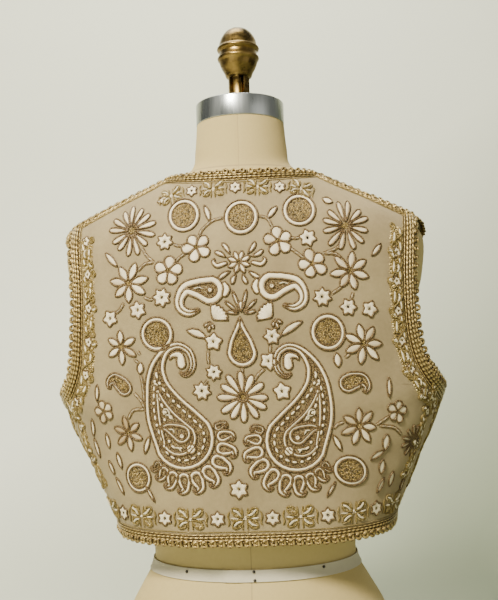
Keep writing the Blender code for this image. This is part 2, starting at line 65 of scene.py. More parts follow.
formRings = [
    {"height": 0.000, "halfWidth": 0.1680, "back": 0.1250, "front": 0.1130, "square": 2.15, "shift": 0.0},
    {"height": 0.050, "halfWidth": 0.1690, "back": 0.1280, "front": 0.1150, "square": 2.15, "shift": 0.0},
    {"height": 0.100, "halfWidth": 0.1590, "back": 0.1190, "front": 0.1070, "square": 2.15, "shift": 0.0},
    {"height": 0.150, "halfWidth": 0.1400, "back": 0.1040, "front": 0.0950, "square": 2.10, "shift": 0.0},
    {"height": 0.180, "halfWidth": 0.1235, "back": 0.0925, "front": 0.0870, "square": 2.10, "shift": 0.0},
    {"height": 0.203, "halfWidth": 0.1115, "back": 0.0835, "front": 0.0820, "square": 2.05, "shift": 0.0},
    {"height": 0.230, "halfWidth": 0.1125, "back": 0.0845, "front": 0.0850, "square": 2.05, "shift": 0.0},
    {"height": 0.270, "halfWidth": 0.1220, "back": 0.0900, "front": 0.0960, "square": 2.10, "shift": 0.0},
    {"height": 0.320, "halfWidth": 0.1370, "back": 0.0980, "front": 0.1100, "square": 2.15, "shift": 0.0},
    {"height": 0.370, "halfWidth": 0.1490, "back": 0.1050, "front": 0.1190, "square": 2.20, "shift": 0.0},
    {"height": 0.420, "halfWidth": 0.1560, "back": 0.1090, "front": 0.1170, "square": 2.20, "shift": 0.0},
    {"height": 0.455, "halfWidth": 0.1650, "back": 0.1105, "front": 0.1120, "square": 2.20, "shift": 0.0},
    {"height": 0.482, "halfWidth": 0.1860, "back": 0.1100, "front": 0.1080, "square": 2.20, "shift": 0.0},
    {"height": 0.520, "halfWidth": 0.1950, "back": 0.1060, "front": 0.1000, "square": 2.20, "shift": 0.0},
    {"height": 0.548, "halfWidth": 0.1945, "back": 0.0990, "front": 0.0885, "square": 2.15, "shift": 0.0},
    {"height": 0.5655, "halfWidth": 0.1800, "back": 0.0920, "front": 0.0800, "square": 2.10, "shift": 0.0},
    {"height": 0.580, "halfWidth": 0.1580, "back": 0.0840, "front": 0.0730, "square": 2.05, "shift": 0.0},
    {"height": 0.600, "halfWidth": 0.1142, "back": 0.0690, "front": 0.0630, "square": 2.00, "shift": 0.0},
    {"height": 0.610, "halfWidth": 0.0922, "back": 0.0610, "front": 0.0590, "square": 2.00, "shift": 0.0},
    {"height": 0.618, "halfWidth": 0.0740, "back": 0.0545, "front": 0.0565, "square": 2.00, "shift": 0.001},
    {"height": 0.630, "halfWidth": 0.0550, "back": 0.0490, "front": 0.0520, "square": 2.00, "shift": 0.003},
    {"height": 0.650, "halfWidth": 0.0510, "back": 0.0480, "front": 0.0490, "square": 2.00, "shift": 0.006},
    {"height": 0.6775, "halfWidth": 0.0486, "back": 0.0480, "front": 0.0480, "square": 2.00, "shift": 0.009},
]
cut = {
    "thickness": 0.0016,
    "seamGap": 0.0004, "shoulderSeamGap": 0.0010,
    "hemCentre": 0.2385, "hemSide": 0.2450, "underarm": 0.382,
    "shoulderTip": (0.1820, 0.5660), "neckPoint": (0.0746, 0.6180),
    "necklineDip": 0.0005, "neckShare": 0.40,
    "sway": 0.004, "swayTop": 0.46, "swayBottom": 0.37,
    "frontEdgeAngle": 168.0, "frontCornerRise": 0.022,
}
backArmhole = [
    {"height": 0.382, "halfWidth": 0.2065},
    {"height": 0.390, "halfWidth": 0.1995},
    {"height": 0.402, "halfWidth": 0.1900},
    {"height": 0.418, "halfWidth": 0.1825},
    {"height": 0.440, "halfWidth": 0.1785},
    {"height": 0.470, "halfWidth": 0.1765},
    {"height": 0.500, "halfWidth": 0.1765},
    {"height": 0.530, "halfWidth": 0.1785},
    {"height": 0.566, "halfWidth": 0.1820},
]
frontArmhole = [
    {"height": 0.382, "angle": 90.0},
    {"height": 0.391, "angle": 97.0},
    {"height": 0.405, "angle": 104.5},
    {"height": 0.425, "angle": 110.0},
    {"height": 0.450, "angle": 113.0},
    {"height": 0.485, "angle": 113.5},
    {"height": 0.520, "angle": 109.0},
    {"height": 0.548, "angle": 98.0},
    {"height": 0.566, "angle": 83.5},
]
frontOpening = [
    {"height": 0.262, "angle": 168.0},
    {"height": 0.330, "angle": 168.5},
    {"height": 0.400, "angle": 168.0},
    {"height": 0.450, "angle": 165.0},
    {"height": 0.500, "angle": 157.0},
    {"height": 0.545, "angle": 144.0},
    {"height": 0.580, "angle": 126.0},
    {"height": 0.602, "angle": 103.0},
    {"height": 0.618, "angle": 74.9},
]


# Smooth values of one column of a table at many heights.
def columnAt(table, key, heights):
    rows = np.array([row["height"] for row in table])
    values = np.array([row[key] for row in table])
    slopes = np.empty(len(rows))
    slopes[1:-1] = (values[2:] - values[:-2]) / (rows[2:] - rows[:-2])
    slopes[0] = (values[1] - values[0]) / (rows[1] - rows[0])
    slopes[-1] = (values[-1] - values[-2]) / (rows[-1] - rows[-2])
    z = np.clip(heights, rows[0], rows[-1])
    low = np.clip(np.searchsorted(rows, z) - 1, 0, len(rows) - 2)
    span = rows[low + 1] - rows[low]
    t = (z - rows[low]) / span
    t2, t3 = t * t, t * t * t
    return ((2 * t3 - 3 * t2 + 1) * values[low] + (t3 - 2 * t2 + t) * span * slopes[low]
            + (3 * t2 - 2 * t3) * values[low + 1] + (t3 - t2) * span * slopes[low + 1])


def smoothStep(t):
    t = np.clip(t, 0.0, 1.0)
    return t * t * (3 - 2 * t)


def ringRadius(table, angle, z):
    depth = np.where(np.cos(angle) > 0, columnAt(table, "back", z), columnAt(table, "front", z))
    power = columnAt(table, "square", z)
    across = np.abs(np.sin(angle)) / columnAt(table, "halfWidth", z)
    along = np.abs(np.cos(angle)) / depth
    return (across ** power + along ** power) ** (-1 / power)


# A point of the cloth at an angle from the centre of the back (0) and a height.
def ringPoint(angle, z):
    radius = ringRadius(clothRings, angle, z)
    sway = cut["sway"] * smoothStep((cut["swayTop"] - z) / (cut["swayTop"] - cut["swayBottom"]))
    return np.stack([radius * np.sin(angle) + sway, -radius * np.cos(angle), z], axis=-1)


def backAngle(halfWidth, z):
    power = columnAt(clothRings, "square", z)
    share = np.minimum(halfWidth / columnAt(clothRings, "halfWidth", z), 1.0)
    depth = columnAt(clothRings, "back", z) * (1 - share ** power) ** (1 / power)
    return np.arctan2(halfWidth, depth)


# Length round each ring from the centre of the back, so that flat work keeps its size
arcHeights = np.linspace(0.225, 0.630, 136)
arcAngles = np.linspace(0.0, math.pi, 361)
arcSteps = np.linspace(0.0, 0.54, 541)


def measureArcs():
    angle, z = np.meshgrid(arcAngles, arcHeights)
    points = ringPoint(angle, z)
    steps = np.linalg.norm(np.diff(points, axis=1), axis=2)
    lengths = np.concatenate([np.zeros((len(arcHeights), 1)), np.cumsum(steps, axis=1)], axis=1)
    table = np.stack([np.interp(arcSteps, row, arcAngles) for row in lengths])
    return lengths, table


arcLengths, arcTable = measureArcs()


# Value of a table between its rows and columns.
def gridLookup(table, rows, columns, z, x):
    zi = np.clip((z - rows[0]) / (rows[1] - rows[0]), 0, len(rows) - 1.001)
    xi = np.clip((x - columns[0]) / (columns[1] - columns[0]), 0, len(columns) - 1.001)
    z0, x0 = zi.astype(int), xi.astype(int)
    zt, xt = zi - z0, xi - x0
    low = table[z0, x0] * (1 - xt) + table[z0, x0 + 1] * xt
    high = table[z0 + 1, x0] * (1 - xt) + table[z0 + 1, x0 + 1] * xt
    return low * (1 - zt) + high * zt


def angleAt(s, z):
    return np.sign(s) * gridLookup(arcTable, arcHeights, arcSteps, z, np.abs(s))


def arcAt(angle, z):
    return np.sign(angle) * gridLookup(arcLengths, arcHeights, arcAngles, z, np.abs(angle))


# Unit normal of the cloth, away from the body.
def clothNormal(angle, z):
    turn = ringPoint(angle + 0.004, z) - ringPoint(angle - 0.004, z)
    rise = ringPoint(angle, z + 0.0012) - ringPoint(angle, z - 0.0012)
    normal = np.cross(turn, rise)
    return normal / np.linalg.norm(normal, axis=-1, keepdims=True)


# Soft folds of the stiff cloth: places in metres from the centre back and up, and a depth
creases = [
    {"start": (-0.245, 0.372), "end": (-0.130, 0.352), "depth": -0.0016, "width": 0.013},
    {"start": (-0.240, 0.350), "end": (-0.150, 0.318), "depth": 0.0013, "width": 0.012},
    {"start": (0.245, 0.376), "end": (0.125, 0.362), "depth": -0.0014, "width": 0.012},
    {"start": (0.235, 0.345), "end": (0.160, 0.305), "depth": 0.0012, "width": 0.011},
    {"start": (-0.060, 0.236), "end": (-0.045, 0.300), "depth": 0.0013, "width": 0.016},
    {"start": (0.085, 0.236), "end": (0.072, 0.290), "depth": 0.0012, "width": 0.015},
    {"start": (-0.120, 0.545), "end": (-0.030, 0.575), "depth": -0.0010, "width": 0.014},
    {"start": (0.115, 0.550), "end": (0.040, 0.578), "depth": -0.0010, "width": 0.013},
    {"start": (-0.290, 0.372), "end": (-0.370, 0.330), "depth": -0.0015, "width": 0.014},
    {"start": (0.290, 0.375), "end": (0.380, 0.340), "depth": -0.0014, "width": 0.013},
    {"start": (-0.330, 0.250), "end": (-0.350, 0.310), "depth": 0.0013, "width": 0.015},
    {"start": (0.340, 0.250), "end": (0.355, 0.300), "depth": 0.0012, "width": 0.014},
]
creaseStyle = {
    "strength": 1.5, "ripple": 0.0005, "rippleAcross": 61.0, "rippleUp": 47.0, "fadeTop": 0.612, "fade": 0.03,
}


def creaseLift(s, z):
    across = np.sin(s * creaseStyle["rippleAcross"] + 1.3)
    lift = creaseStyle["ripple"] * across * np.sin(z * creaseStyle["rippleUp"] + 0.4)
    for fold in creases:
        (s0, z0), (s1, z1) = fold["start"], fold["end"]
        runS, runZ = s1 - s0, z1 - z0
        size = runS * runS + runZ * runZ
        t = np.clip(((s - s0) * runS + (z - z0) * runZ) / size, 0, 1)
        away = np.hypot(s - s0 - runS * t, z - z0 - runZ * t)
        depth = creaseStyle["strength"] * fold["depth"] * np.exp(-((away / fold["width"]) ** 2))
        lift = lift + depth * (1 - 0.5 * t)
    return lift * smoothStep((creaseStyle["fadeTop"] - z) / creaseStyle["fade"])


# Flat work at (s, z) with its height above the cloth, laid on the body.
def wornPoint(s, z, lift):
    s, z, lift = np.broadcast_arrays(np.asarray(s, float), np.asarray(z, float), np.asarray(lift, float))
    angle = angleAt(s, z)
    normal = clothNormal(angle, z)
    rise = lift + cut["thickness"] / 2 + creaseLift(s, z)
    return ringPoint(angle, z) + normal * rise[..., None]


def shoulderSeam(share):
    (x0, z0), (x1, z1) = cut["neckPoint"], cut["shoulderTip"]
    return x0 + (x1 - x0) * share, z0 + (z1 - z0) * share


# Angle and height of the back panel, for u from -1 to 1 across and v from 0 to 1 up.
def backPanel(u, v):
    share = np.abs(u)
    tipX, tipZ = cut["shoulderTip"]
    sideZ = cut["hemSide"] * (1 - v) + tipZ * v
    neck = np.minimum(share / cut["neckShare"], 1.0)
    seamX, seamZ = shoulderSeam((share - cut["neckShare"]) / (1 - cut["neckShare"]))
    inNeck = share <= cut["neckShare"]
    topX = np.where(inNeck, cut["neckPoint"][0] * neck, seamX)
    topZ = np.where(inNeck, cut["neckPoint"][1] + cut["necklineDip"] * (1 - neck ** 2), seamZ)
    hem = cut["hemCentre"] + (cut["hemSide"] - cut["hemCentre"]) * share ** 3
    z = hem * (1 - v) + topZ * v
    low = sideZ <= cut["underarm"]
    reach = np.where(
        low, columnAt(clothRings, "halfWidth", sideZ), columnAt(backArmhole, "halfWidth", sideZ))
    endAngle = np.where(low, math.pi / 2, backAngle(reach, sideZ))
    angle = share * endAngle
    lowX = ringRadius(clothRings, angle, z) * np.sin(angle)
    start = (cut["underarm"] - cut["hemSide"]) / (tipZ - cut["hemSide"])
    blend = smoothStep((v - start) / (1 - start))
    x = lowX * (1 - blend) + topX * reach / tipX * blend
    return np.where(u < 0, -1.0, 1.0) * backAngle(x, z), z


# Angle and height of a front panel, u from the side (0) to the front edge (1), v up.
def frontPanel(u, v):
    tipX, tipZ = cut["shoulderTip"]

    def sideEdge(v):
        z = cut["hemSide"] * (1 - v) + tipZ * v
        angle = np.where(z <= cut["underarm"], 90.0, columnAt(frontArmhole, "angle", z))
        gap = np.degrees(cut["seamGap"] / ringRadius(clothRings, np.radians(angle), z))
        return np.stack([angle + gap, z])

    def openingEdge(v):
        z = frontOpening[0]["height"] * (1 - v) + cut["neckPoint"][1] * v
        return np.stack([columnAt(frontOpening, "angle", z), z])

    def hemEdge(u):
        start = sideEdge(np.zeros_like(u))[0]
        angle = start + (cut["frontEdgeAngle"] - start) * u
        corner = np.maximum(u - 0.72, 0.0) / 0.28
        z = cut["hemSide"] + cut["frontCornerRise"] * (1 - np.sqrt(1 - corner ** 2))
        z = z + (frontOpening[0]["height"] - cut["hemSide"] - cut["frontCornerRise"]) * u
        return np.stack([angle, z])

    def seamEdge(u):
        x, z = shoulderSeam(1 - u)
        angle = backAngle(x, z)
        radius = ringRadius(clothRings, angle, z)
        return np.stack([np.degrees(angle + cut["shoulderSeamGap"] / radius), z])

    zero, one = np.zeros_like(u), np.ones_like(u)
    place = (1 - v) * hemEdge(u) + v * seamEdge(u) + (1 - u) * sideEdge(v) + u * openingEdge(v)
    place = place - (1 - v) * ((1 - u) * hemEdge(zero) + u * hemEdge(one))
    place = place - v * ((1 - u) * seamEdge(zero) + u * seamEdge(one))
    return np.radians(place[0]), place[1]


def selectOnly(item):
    bpy.ops.object.select_all(action="DESELECT")
    item.select_set(True)
    bpy.context.view_layer.objects.active = item


def applyAll(item):
    selectOnly(item)
    for modifier in list(item.modifiers):
        bpy.ops.object.modifier_apply(modifier=modifier.name)
    bpy.ops.object.transform_apply(location=True, rotation=True, scale=True)
    bpy.ops.object.select_all(action="DESELECT")


# A grid primitive, its points laid by place(u, v) which gives points and a flat (s, z).
def gridPiece(name, columns, rows, place):
    bpy.ops.mesh.primitive_grid_add(x_subdivisions=columns, y_subdivisions=rows, size=1.0)
    item = bpy.context.object
    item.name = name
    item.data.name = name
    mesh = item.data
    flat = np.empty(len(mesh.vertices) * 3, np.float32)
    mesh.vertices.foreach_get("co", flat)
    flat = flat.reshape(-1, 3).astype(float)
    points, cloth = place(flat[:, 0] + 0.5, flat[:, 1] + 0.5)
    mesh.vertices.foreach_set("co", points.astype(np.float32).ravel())
    layer = mesh.uv_layers.active or mesh.uv_layers.new(name="UVMap")
    corner = np.empty(len(mesh.loops), np.int32)
    mesh.loops.foreach_get("vertex_index", corner)
    layer.data.foreach_set("uv", cloth[corner].astype(np.float32).ravel())
    mesh.update()
    return item


# Lays a grid on a panel, with the rows closer near the shoulder.
def panelPlacer(panel, side, dense):
    def place(a, b):
        v = 1 - (1 - b) ** dense
        angle, z = panel(a, v)
        angle = side * angle
        s = arcAt(angle, z)
        normal = clothNormal(angle, z)
        points = ringPoint(angle, z) + normal * creaseLift(s, z)[:, None]
        return points, np.stack([s, z], axis=1)
    return place


def clothPanel(name, columns, rows, panel, side, flip):
    item = gridPiece(name, columns, rows, panelPlacer(panel, side, 1.25))
    if flip:
        item.data.flip_normals()
    wall = item.modifiers.new("Wall", "SOLIDIFY")
    wall.thickness = cut["thickness"]
    wall.offset = 0.0
    applyAll(item)
    item.data.shade_smooth()
    return item


# Materials
def sockets(group, direction, names):
    for name, kind, value in names:
        socket = group.interface.new_socket(name=name, in_out=direction, socket_type=kind)
        if value is not None:
            socket.default_value = value


def newGroup(name, inputs, outputs):
    group = bpy.data.node_groups.new(name, "ShaderNodeTree")
    sockets(group, "INPUT", inputs)
    sockets(group, "OUTPUT", outputs)
    return group, group.nodes.new("NodeGroupInput"), group.nodes.new("NodeGroupOutput")


def mathNode(tree, operation, first, second=None):
    node = tree.nodes.new("ShaderNodeMath")
    node.operation = operation
    for socket, value in zip(node.inputs, (first, second)):
        if value is None:
            continue
        if isinstance(value, (int, float)):
            socket.default_value = value
        else:
            tree.links.new(value, socket)
    return node.outputs[0]


# Over-and-under threads, from flat coordinates; gives a height and a shade.
def plainWeaveGroup():
    group, source, result = newGroup(
        "plainWeave",
        [("Vector", "NodeSocketVector", None), ("Threads", "NodeSocketFloat", 1500.0),
         ("Unevenness", "NodeSocketFloat", 0.3)],
        [("Height", "NodeSocketFloat", None), ("Shade", "NodeSocketFloat", None)],
    )
    split = group.nodes.new("ShaderNodeSeparateXYZ")
    group.links.new(source.outputs["Vector"], split.inputs[0])
    noise = group.nodes.new("ShaderNodeTexNoise")
    noise.inputs["Scale"].default_value = 220.0
    noise.inputs["Detail"].default_value = 2.0
    group.links.new(source.outputs["Vector"], noise.inputs["Vector"])
    wobble = mathNode(group, "MULTIPLY", noise.outputs["Fac"], source.outputs["Unevenness"])
    warpPhase = mathNode(group, "MULTIPLY", split.outputs["X"], source.outputs["Threads"])
    weftPhase = mathNode(group, "MULTIPLY", split.outputs["Y"], source.outputs["Threads"])
    waves = []
    for phase in (warpPhase, weftPhase):
        turned = mathNode(group, "MULTIPLY", mathNode(group, "ADD", phase, wobble), math.pi)
        waves.append(mathNode(group, "SINE", turned))
    over = mathNode(group, "MULTIPLY", *waves)
    height = mathNode(group, "ABSOLUTE", over)
    group.links.new(height, result.inputs["Height"])
    slub = mathNode(group, "ADD", mathNode(group, "MULTIPLY", height, 0.35), wobble)
    group.links.new(slub, result.inputs["Shade"])
    return group


# Parallel threads lying side by side, with a slant; gives a height and a shade.
def threadLinesGroup():
    group, source, result = newGroup(
        "threadLines",
        [("Vector", "NodeSocketVector", None), ("Pitch", "NodeSocketFloat", 2600.0),
         ("Slant", "NodeSocketFloat", 0.35)],
        [("Height", "NodeSocketFloat", None), ("Shade", "NodeSocketFloat", None)],
    )
    split = group.nodes.new("ShaderNodeSeparateXYZ")
    group.links.new(source.outputs["Vector"], split.inputs[0])
    slanted = mathNode(group, "MULTIPLY", split.outputs["Y"], source.outputs["Slant"])
    across = mathNode(group, "ADD", split.outputs["X"], slanted)
    along = mathNode(group, "MULTIPLY", across, source.outputs["Pitch"])
    noise = group.nodes.new("ShaderNodeTexNoise")
    noise.inputs["Scale"].default_value = 900.0
    noise.inputs["Detail"].default_value = 1.0
    group.links.new(source.outputs["Vector"], noise.inputs["Vector"])
    wobble = mathNode(group, "MULTIPLY", noise.outputs["Fac"], 1.6)
    wave = mathNode(group, "SINE", mathNode(group, "ADD", along, wobble))
    height = mathNode(group, "ADD", mathNode(group, "MULTIPLY", wave, 0.5), 0.5)
    group.links.new(height, result.inputs["Height"])
    fibres = mathNode(group, "MULTIPLY", noise.outputs["Fac"], 0.25)
    shade = mathNode(group, "ADD", mathNode(group, "MULTIPLY", height, 0.85), fibres)
    group.links.new(shade, result.inputs["Shade"])
    return group


# Soft uneven patches over the whole piece: tones of age, and on the aluminium, stretched upright, painted
# reflection streaks.
def ageAndReflectionPatchesGroup():
    group, source, result = newGroup(
        "ageAndReflectionPatches",
        [("Scale", "NodeSocketFloat", 14.0), ("Contrast", "NodeSocketFloat", 1.0),
         ("Upright", "NodeSocketFloat", 1.0)],
        [("Mask", "NodeSocketFloat", None)],
    )
    place = group.nodes.new("ShaderNodeTexCoord")
    split = group.nodes.new("ShaderNodeSeparateXYZ")
    group.links.new(place.outputs["Object"], split.inputs[0])
    drawn = group.nodes.new("ShaderNodeCombineXYZ")
    group.links.new(split.outputs["X"], drawn.inputs["X"])
    group.links.new(split.outputs["Y"], drawn.inputs["Y"])
    upright = mathNode(group, "MULTIPLY", split.outputs["Z"], source.outputs["Upright"])
    group.links.new(upright, drawn.inputs["Z"])
    noise = group.nodes.new("ShaderNodeTexNoise")
    noise.inputs["Detail"].default_value = 6.0
    noise.inputs["Roughness"].default_value = 0.6
    group.links.new(drawn.outputs[0], noise.inputs["Vector"])
    group.links.new(source.outputs["Scale"], noise.inputs["Scale"])
    centred = mathNode(group, "SUBTRACT", noise.outputs["Fac"], 0.5)
    spread = mathNode(group, "MULTIPLY", centred, source.outputs["Contrast"])
    mask = mathNode(group, "ADD", spread, 0.5)
    clamp = group.nodes.new("ShaderNodeClamp")
    group.links.new(mask, clamp.inputs["Value"])
    group.links.new(clamp.outputs[0], result.inputs["Mask"])
    return group


# Seams of the linen cover: angles on both sides, flat metres for each radian, height of the neck seam
seams = {"angles": (0.0, math.pi / 2, 2.45, math.pi), "flatPerTurn": 0.12, "neckHeight": 0.627}


# Narrow lines where the cover is sewn, from its flat coordinates.
def sewnSeamsGroup():
    group, source, result = newGroup(
        "sewnSeams",
        [("Vector", "NodeSocketVector", None), ("Width", "NodeSocketFloat", 0.0012)],
        [("Mask", "NodeSocketFloat", None)],
    )
    split = group.nodes.new("ShaderNodeSeparateXYZ")
    group.links.new(source.outputs["Vector"], split.inputs[0])
    across = mathNode(group, "ABSOLUTE", split.outputs["X"])
    fromNeck = mathNode(group, "SUBTRACT", split.outputs["Y"], seams["neckHeight"])
    nearest = mathNode(group, "ABSOLUTE", fromNeck)
    for angle in seams["angles"]:
        fromSeam = mathNode(group, "SUBTRACT", across, angle * seams["flatPerTurn"])
        away = mathNode(group, "ABSOLUTE", fromSeam)
        nearest = mathNode(group, "MINIMUM", nearest, away)
    share = mathNode(group, "MINIMUM", mathNode(group, "DIVIDE", nearest, source.outputs["Width"]), 1.0)
    group.links.new(mathNode(group, "SUBTRACT", 1.0, share), result.inputs["Mask"])
    return group


groups = {
    "weave": plainWeaveGroup(), "threads": threadLinesGroup(), "patches": ageAndReflectionPatchesGroup(),
    "seams": sewnSeamsGroup(),
}


def newMaterial(name, roughness, metallic, sheen):
    material = bpy.data.materials.new(name)
    material.use_nodes = True
    tree = material.node_tree
    shader = tree.nodes["Principled BSDF"]
    shader.inputs["Roughness"].default_value = roughness
    shader.inputs["Metallic"].default_value = metallic
    shader.inputs["Sheen Weight"].default_value = sheen
    shader.inputs["Sheen Roughness"].default_value = 0.4
    return material, tree, shader


def useGroup(tree, key, **values):
    node = tree.nodes.new("ShaderNodeGroup")
    node.node_tree = groups[key]
    for name, value in values.items():
        node.inputs[name].default_value = value
    return node


def mixColour(tree, factor, first, second, blend="MIX"):
    node = tree.nodes.new("ShaderNodeMix")
    node.data_type = "RGBA"
    node.blend_type = blend
    for socket, value in ((node.inputs[0], factor), (node.inputs[6], first), (node.inputs[7], second)):
        if isinstance(value, (int, float)):
            socket.default_value = value
        elif isinstance(value, tuple):
            socket.default_value = (*value, 1.0)
        else:
            tree.links.new(value, socket)
    return node.outputs[2]


def addBump(tree, shader, height, distance, strength):
    bump = tree.nodes.new("ShaderNodeBump")
    bump.inputs["Distance"].default_value = distance
    bump.inputs["Strength"].default_value = strength
    tree.links.new(height, bump.inputs["Height"])
    tree.links.new(bump.outputs["Normal"], shader.inputs["Normal"])


def wovenMaterial(name, light, dark, threads, sheen, patchScale, patchTone, sewn=False):
    material, tree, shader = newMaterial(name, 0.86, 0.0, sheen)
    place = tree.nodes.new("ShaderNodeTexCoord")
    weave = useGroup(tree, "weave", Threads=threads, Unevenness=0.35)
    tree.links.new(place.outputs["UV"], weave.inputs["Vector"])
    patches = useGroup(tree, "patches", Scale=patchScale, Contrast=2.2)
    woven = mixColour(tree, weave.outputs["Shade"], dark, light)
    toned = mixColour(tree, patches.outputs["Mask"], woven, patchTone, "MULTIPLY")
    if sewn:
        seamLines = useGroup(tree, "seams")
        tree.links.new(place.outputs["UV"], seamLines.inputs["Vector"])
        toned = mixColour(tree, seamLines.outputs["Mask"], toned, (0.36, 0.26, 0.12))
    tree.links.new(toned, shader.inputs["Base Color"])
    addBump(tree, shader, weave.outputs["Height"], 0.00025, 0.5)
    return material


# Thread that shines, with a tone of its own for each motif; the tone also carries painted shade at satin edges
# and painted light and dark along twisted cords.
def threadMaterial(name, light, dark, tarnishAndPaintedLight, roughness, metallic, sheen, pitch, slant, bump):
    material, tree, shader = newMaterial(name, roughness, metallic, sheen)
    place = tree.nodes.new("ShaderNodeTexCoord")
    threads = useGroup(tree, "threads", Pitch=pitch, Slant=slant)
    tree.links.new(place.outputs["UV"], threads.inputs["Vector"])
    tone = tree.nodes.new("ShaderNodeAttribute")
    tone.attribute_name = "tone"
    laid = mixColour(tree, threads.outputs["Shade"], dark, light)
    toned = mixColour(tree, tone.outputs["Fac"], laid, tarnishAndPaintedLight)
    tree.links.new(toned, shader.inputs["Base Color"])
    addBump(tree, shader, threads.outputs["Height"], 0.00022, bump)
    return material


def metalMaterial(name, light, dark, roughness, patchScale, contrast, upright=1.0):
    material, tree, shader = newMaterial(name, roughness, 1.0, 0.0)
    patches = useGroup(tree, "patches", Scale=patchScale, Contrast=contrast, Upright=upright)
    tree.links.new(mixColour(tree, patches.outputs["Mask"], dark, light), shader.inputs["Base Color"])
    spread = mathNode(tree, "MULTIPLY", patches.outputs["Mask"], 0.22)
    tree.links.new(mathNode(tree, "ADD", spread, roughness - 0.1), shader.inputs["Roughness"])
    addBump(tree, shader, patches.outputs["Mask"], 0.0002, 0.15)
    return material


# Woven cloth: thread and gap colours, threads to the metre, and the tone of its soft patches
wovenKinds = {
    "beigeCloth": {
        "light": (0.47, 0.37, 0.19), "dark": (0.28, 0.21, 0.10), "threads": 1900.0, "sheen": 0.05,
        "patchScale": 15.0, "patchTone": (0.66, 0.64, 0.62),
    },
    "naturalLinen": {
        "light": (0.66, 0.52, 0.225), "dark": (0.50, 0.38, 0.15), "threads": 1100.0, "sheen": 0.05,
        "patchScale": 6.0, "patchTone": (0.90, 0.88, 0.84), "sewn": True,
    },
    "twillTape": {
        "light": (0.64, 0.58, 0.43), "dark": (0.52, 0.47, 0.34), "threads": 1300.0, "sheen": 0.1,
        "patchScale": 20.0, "patchTone": (0.94, 0.93, 0.90),
    },
}
# Threads: top, gap and tone colours, the tone colour being tarnish and also painted light (shade on cream satin,
# glints on gilt braid and cords); pitch is the phase of the thread lines for each metre
threadKinds = {
    "creamSilk": {
        "light": (1.0, 0.91, 0.65), "dark": (0.68, 0.52, 0.27), "tarnishAndPaintedLight": (0.30, 0.19, 0.07),
        "roughness": 0.42, "metallic": 0.0, "sheen": 0.06, "pitch": 5200.0, "slant": 0.45, "bump": 0.9,
    },
    "goldSilk": {
        "light": (0.34, 0.235, 0.05), "dark": (0.09, 0.05, 0.01), "tarnishAndPaintedLight": (0.74, 0.58, 0.26),
        "roughness": 0.36, "metallic": 0.30, "sheen": 0.0, "pitch": 4200.0, "slant": 0.45, "bump": 0.9,
    },
    "couchedCord": {
        "light": (0.13, 0.073, 0.022), "dark": (0.02, 0.010, 0.003), "tarnishAndPaintedLight": (0.30, 0.20, 0.07),
        "roughness": 0.42, "metallic": 0.30, "sheen": 0.0, "pitch": 2800.0, "slant": 0.00224, "bump": 1.0,
    },
    "goldKnots": {
        "light": (0.56, 0.39, 0.12), "dark": (0.08, 0.045, 0.010), "tarnishAndPaintedLight": (0.015, 0.008, 0.002),
        "roughness": 0.36, "metallic": 0.35, "sheen": 0.0, "pitch": 4000.0, "slant": 0.2, "bump": 0.6,
    },
    "giltBraid": {
        "light": (0.16, 0.098, 0.026), "dark": (0.012, 0.007, 0.002), "tarnishAndPaintedLight": (0.66, 0.48, 0.17),
        "roughness": 0.32, "metallic": 0.45, "sheen": 0.0, "pitch": 1700.0, "slant": 0.003696, "bump": 1.0,
    },
}
metalKinds = {
    # The aluminium's light and dark streaks, stretched upright, are painted reflections.
    "brushedAluminium": {
        "light": (0.52, 0.54, 0.53), "dark": (0.24, 0.26, 0.25),
        "roughness": 0.26, "patchScale": 30.0, "contrast": 3.0, "upright": 0.03,
    },
    "antiqueBrass": {
        "light": (0.31, 0.205, 0.062), "dark": (0.055, 0.032, 0.009),
        "roughness": 0.30, "patchScale": 60.0, "contrast": 2.6,
    },
    "darkPin": {
        "light": (0.10, 0.09, 0.08), "dark": (0.05, 0.045, 0.04),
        "roughness": 0.4, "patchScale": 50.0, "contrast": 1.0,
    },
}
materials = {}
for kinds, make in ((wovenKinds, wovenMaterial), (threadKinds, threadMaterial), (metalKinds, metalMaterial)):
    for name, row in kinds.items():
        materials[name] = make(name, **row)
print("stage: materials made")

# The cloth: one back and two open fronts
backCloth = clothPanel("backPanel", 150, 120, lambda a, v: backPanel(2 * a - 1, v), 1.0, False)
frontRightCloth = clothPanel("frontPanelRight", 90, 120, frontPanel, 1.0, False)
frontLeftCloth = clothPanel("frontPanelLeft", 90, 120, frontPanel, -1.0, True)
panelNodes = {"back": backCloth, "front_right_of_view": frontRightCloth, "front_left_of_view": frontLeftCloth}
for node, cloth in panelNodes.items():
    cloth.data.materials.append(materials["beigeCloth"])
    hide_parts(node)
    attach(cloth, "root")
print("stage: cloth panels laid on the form")

# The dress form
form = {
    "sides": 160, "rows": 190, "height": 0.6775, "neckTilt": math.radians(6.0), "neckTiltStart": 0.618,
    "shrink": 0.0002, "seamDepth": 0.0005, "seamWidth": 0.0011, "seamRadius": 0.11,
    "neckSeam": 0.624, "neckSeamDip": 0.004,
}
plate = {"radius": 0.0488, "height": 0.0235, "shift": 0.009, "seat": 0.0003, "sides": 128}
tape = {
    "top": 0.2062, "width": 0.0120, "thickness": 0.0009, "gap": 0.0006,
    "lapStart": -0.33, "lapEnd": -0.12, "lapRise": 0.0005,
}
pins = {
    "places": [(-0.78, 0.2025), (0.03, 0.2045), (0.04, 0.1962), (0.85, 0.2035)],
    "radius": 0.0016, "rise": 0.0006,
}


def formPoint(angle, z, out):
    radius = ringRadius(formRings, angle, z) + out
    x, y = radius * np.sin(angle), -radius * np.cos(angle)
    rise = smoothStep((z - form["neckTiltStart"]) / (form["height"] - form["neckTiltStart"]))
    tilt = -y * math.tan(form["neckTilt"]) * rise
    return np.stack([x, y + columnAt(formRings, "shift", z), z + tilt], axis=-1)


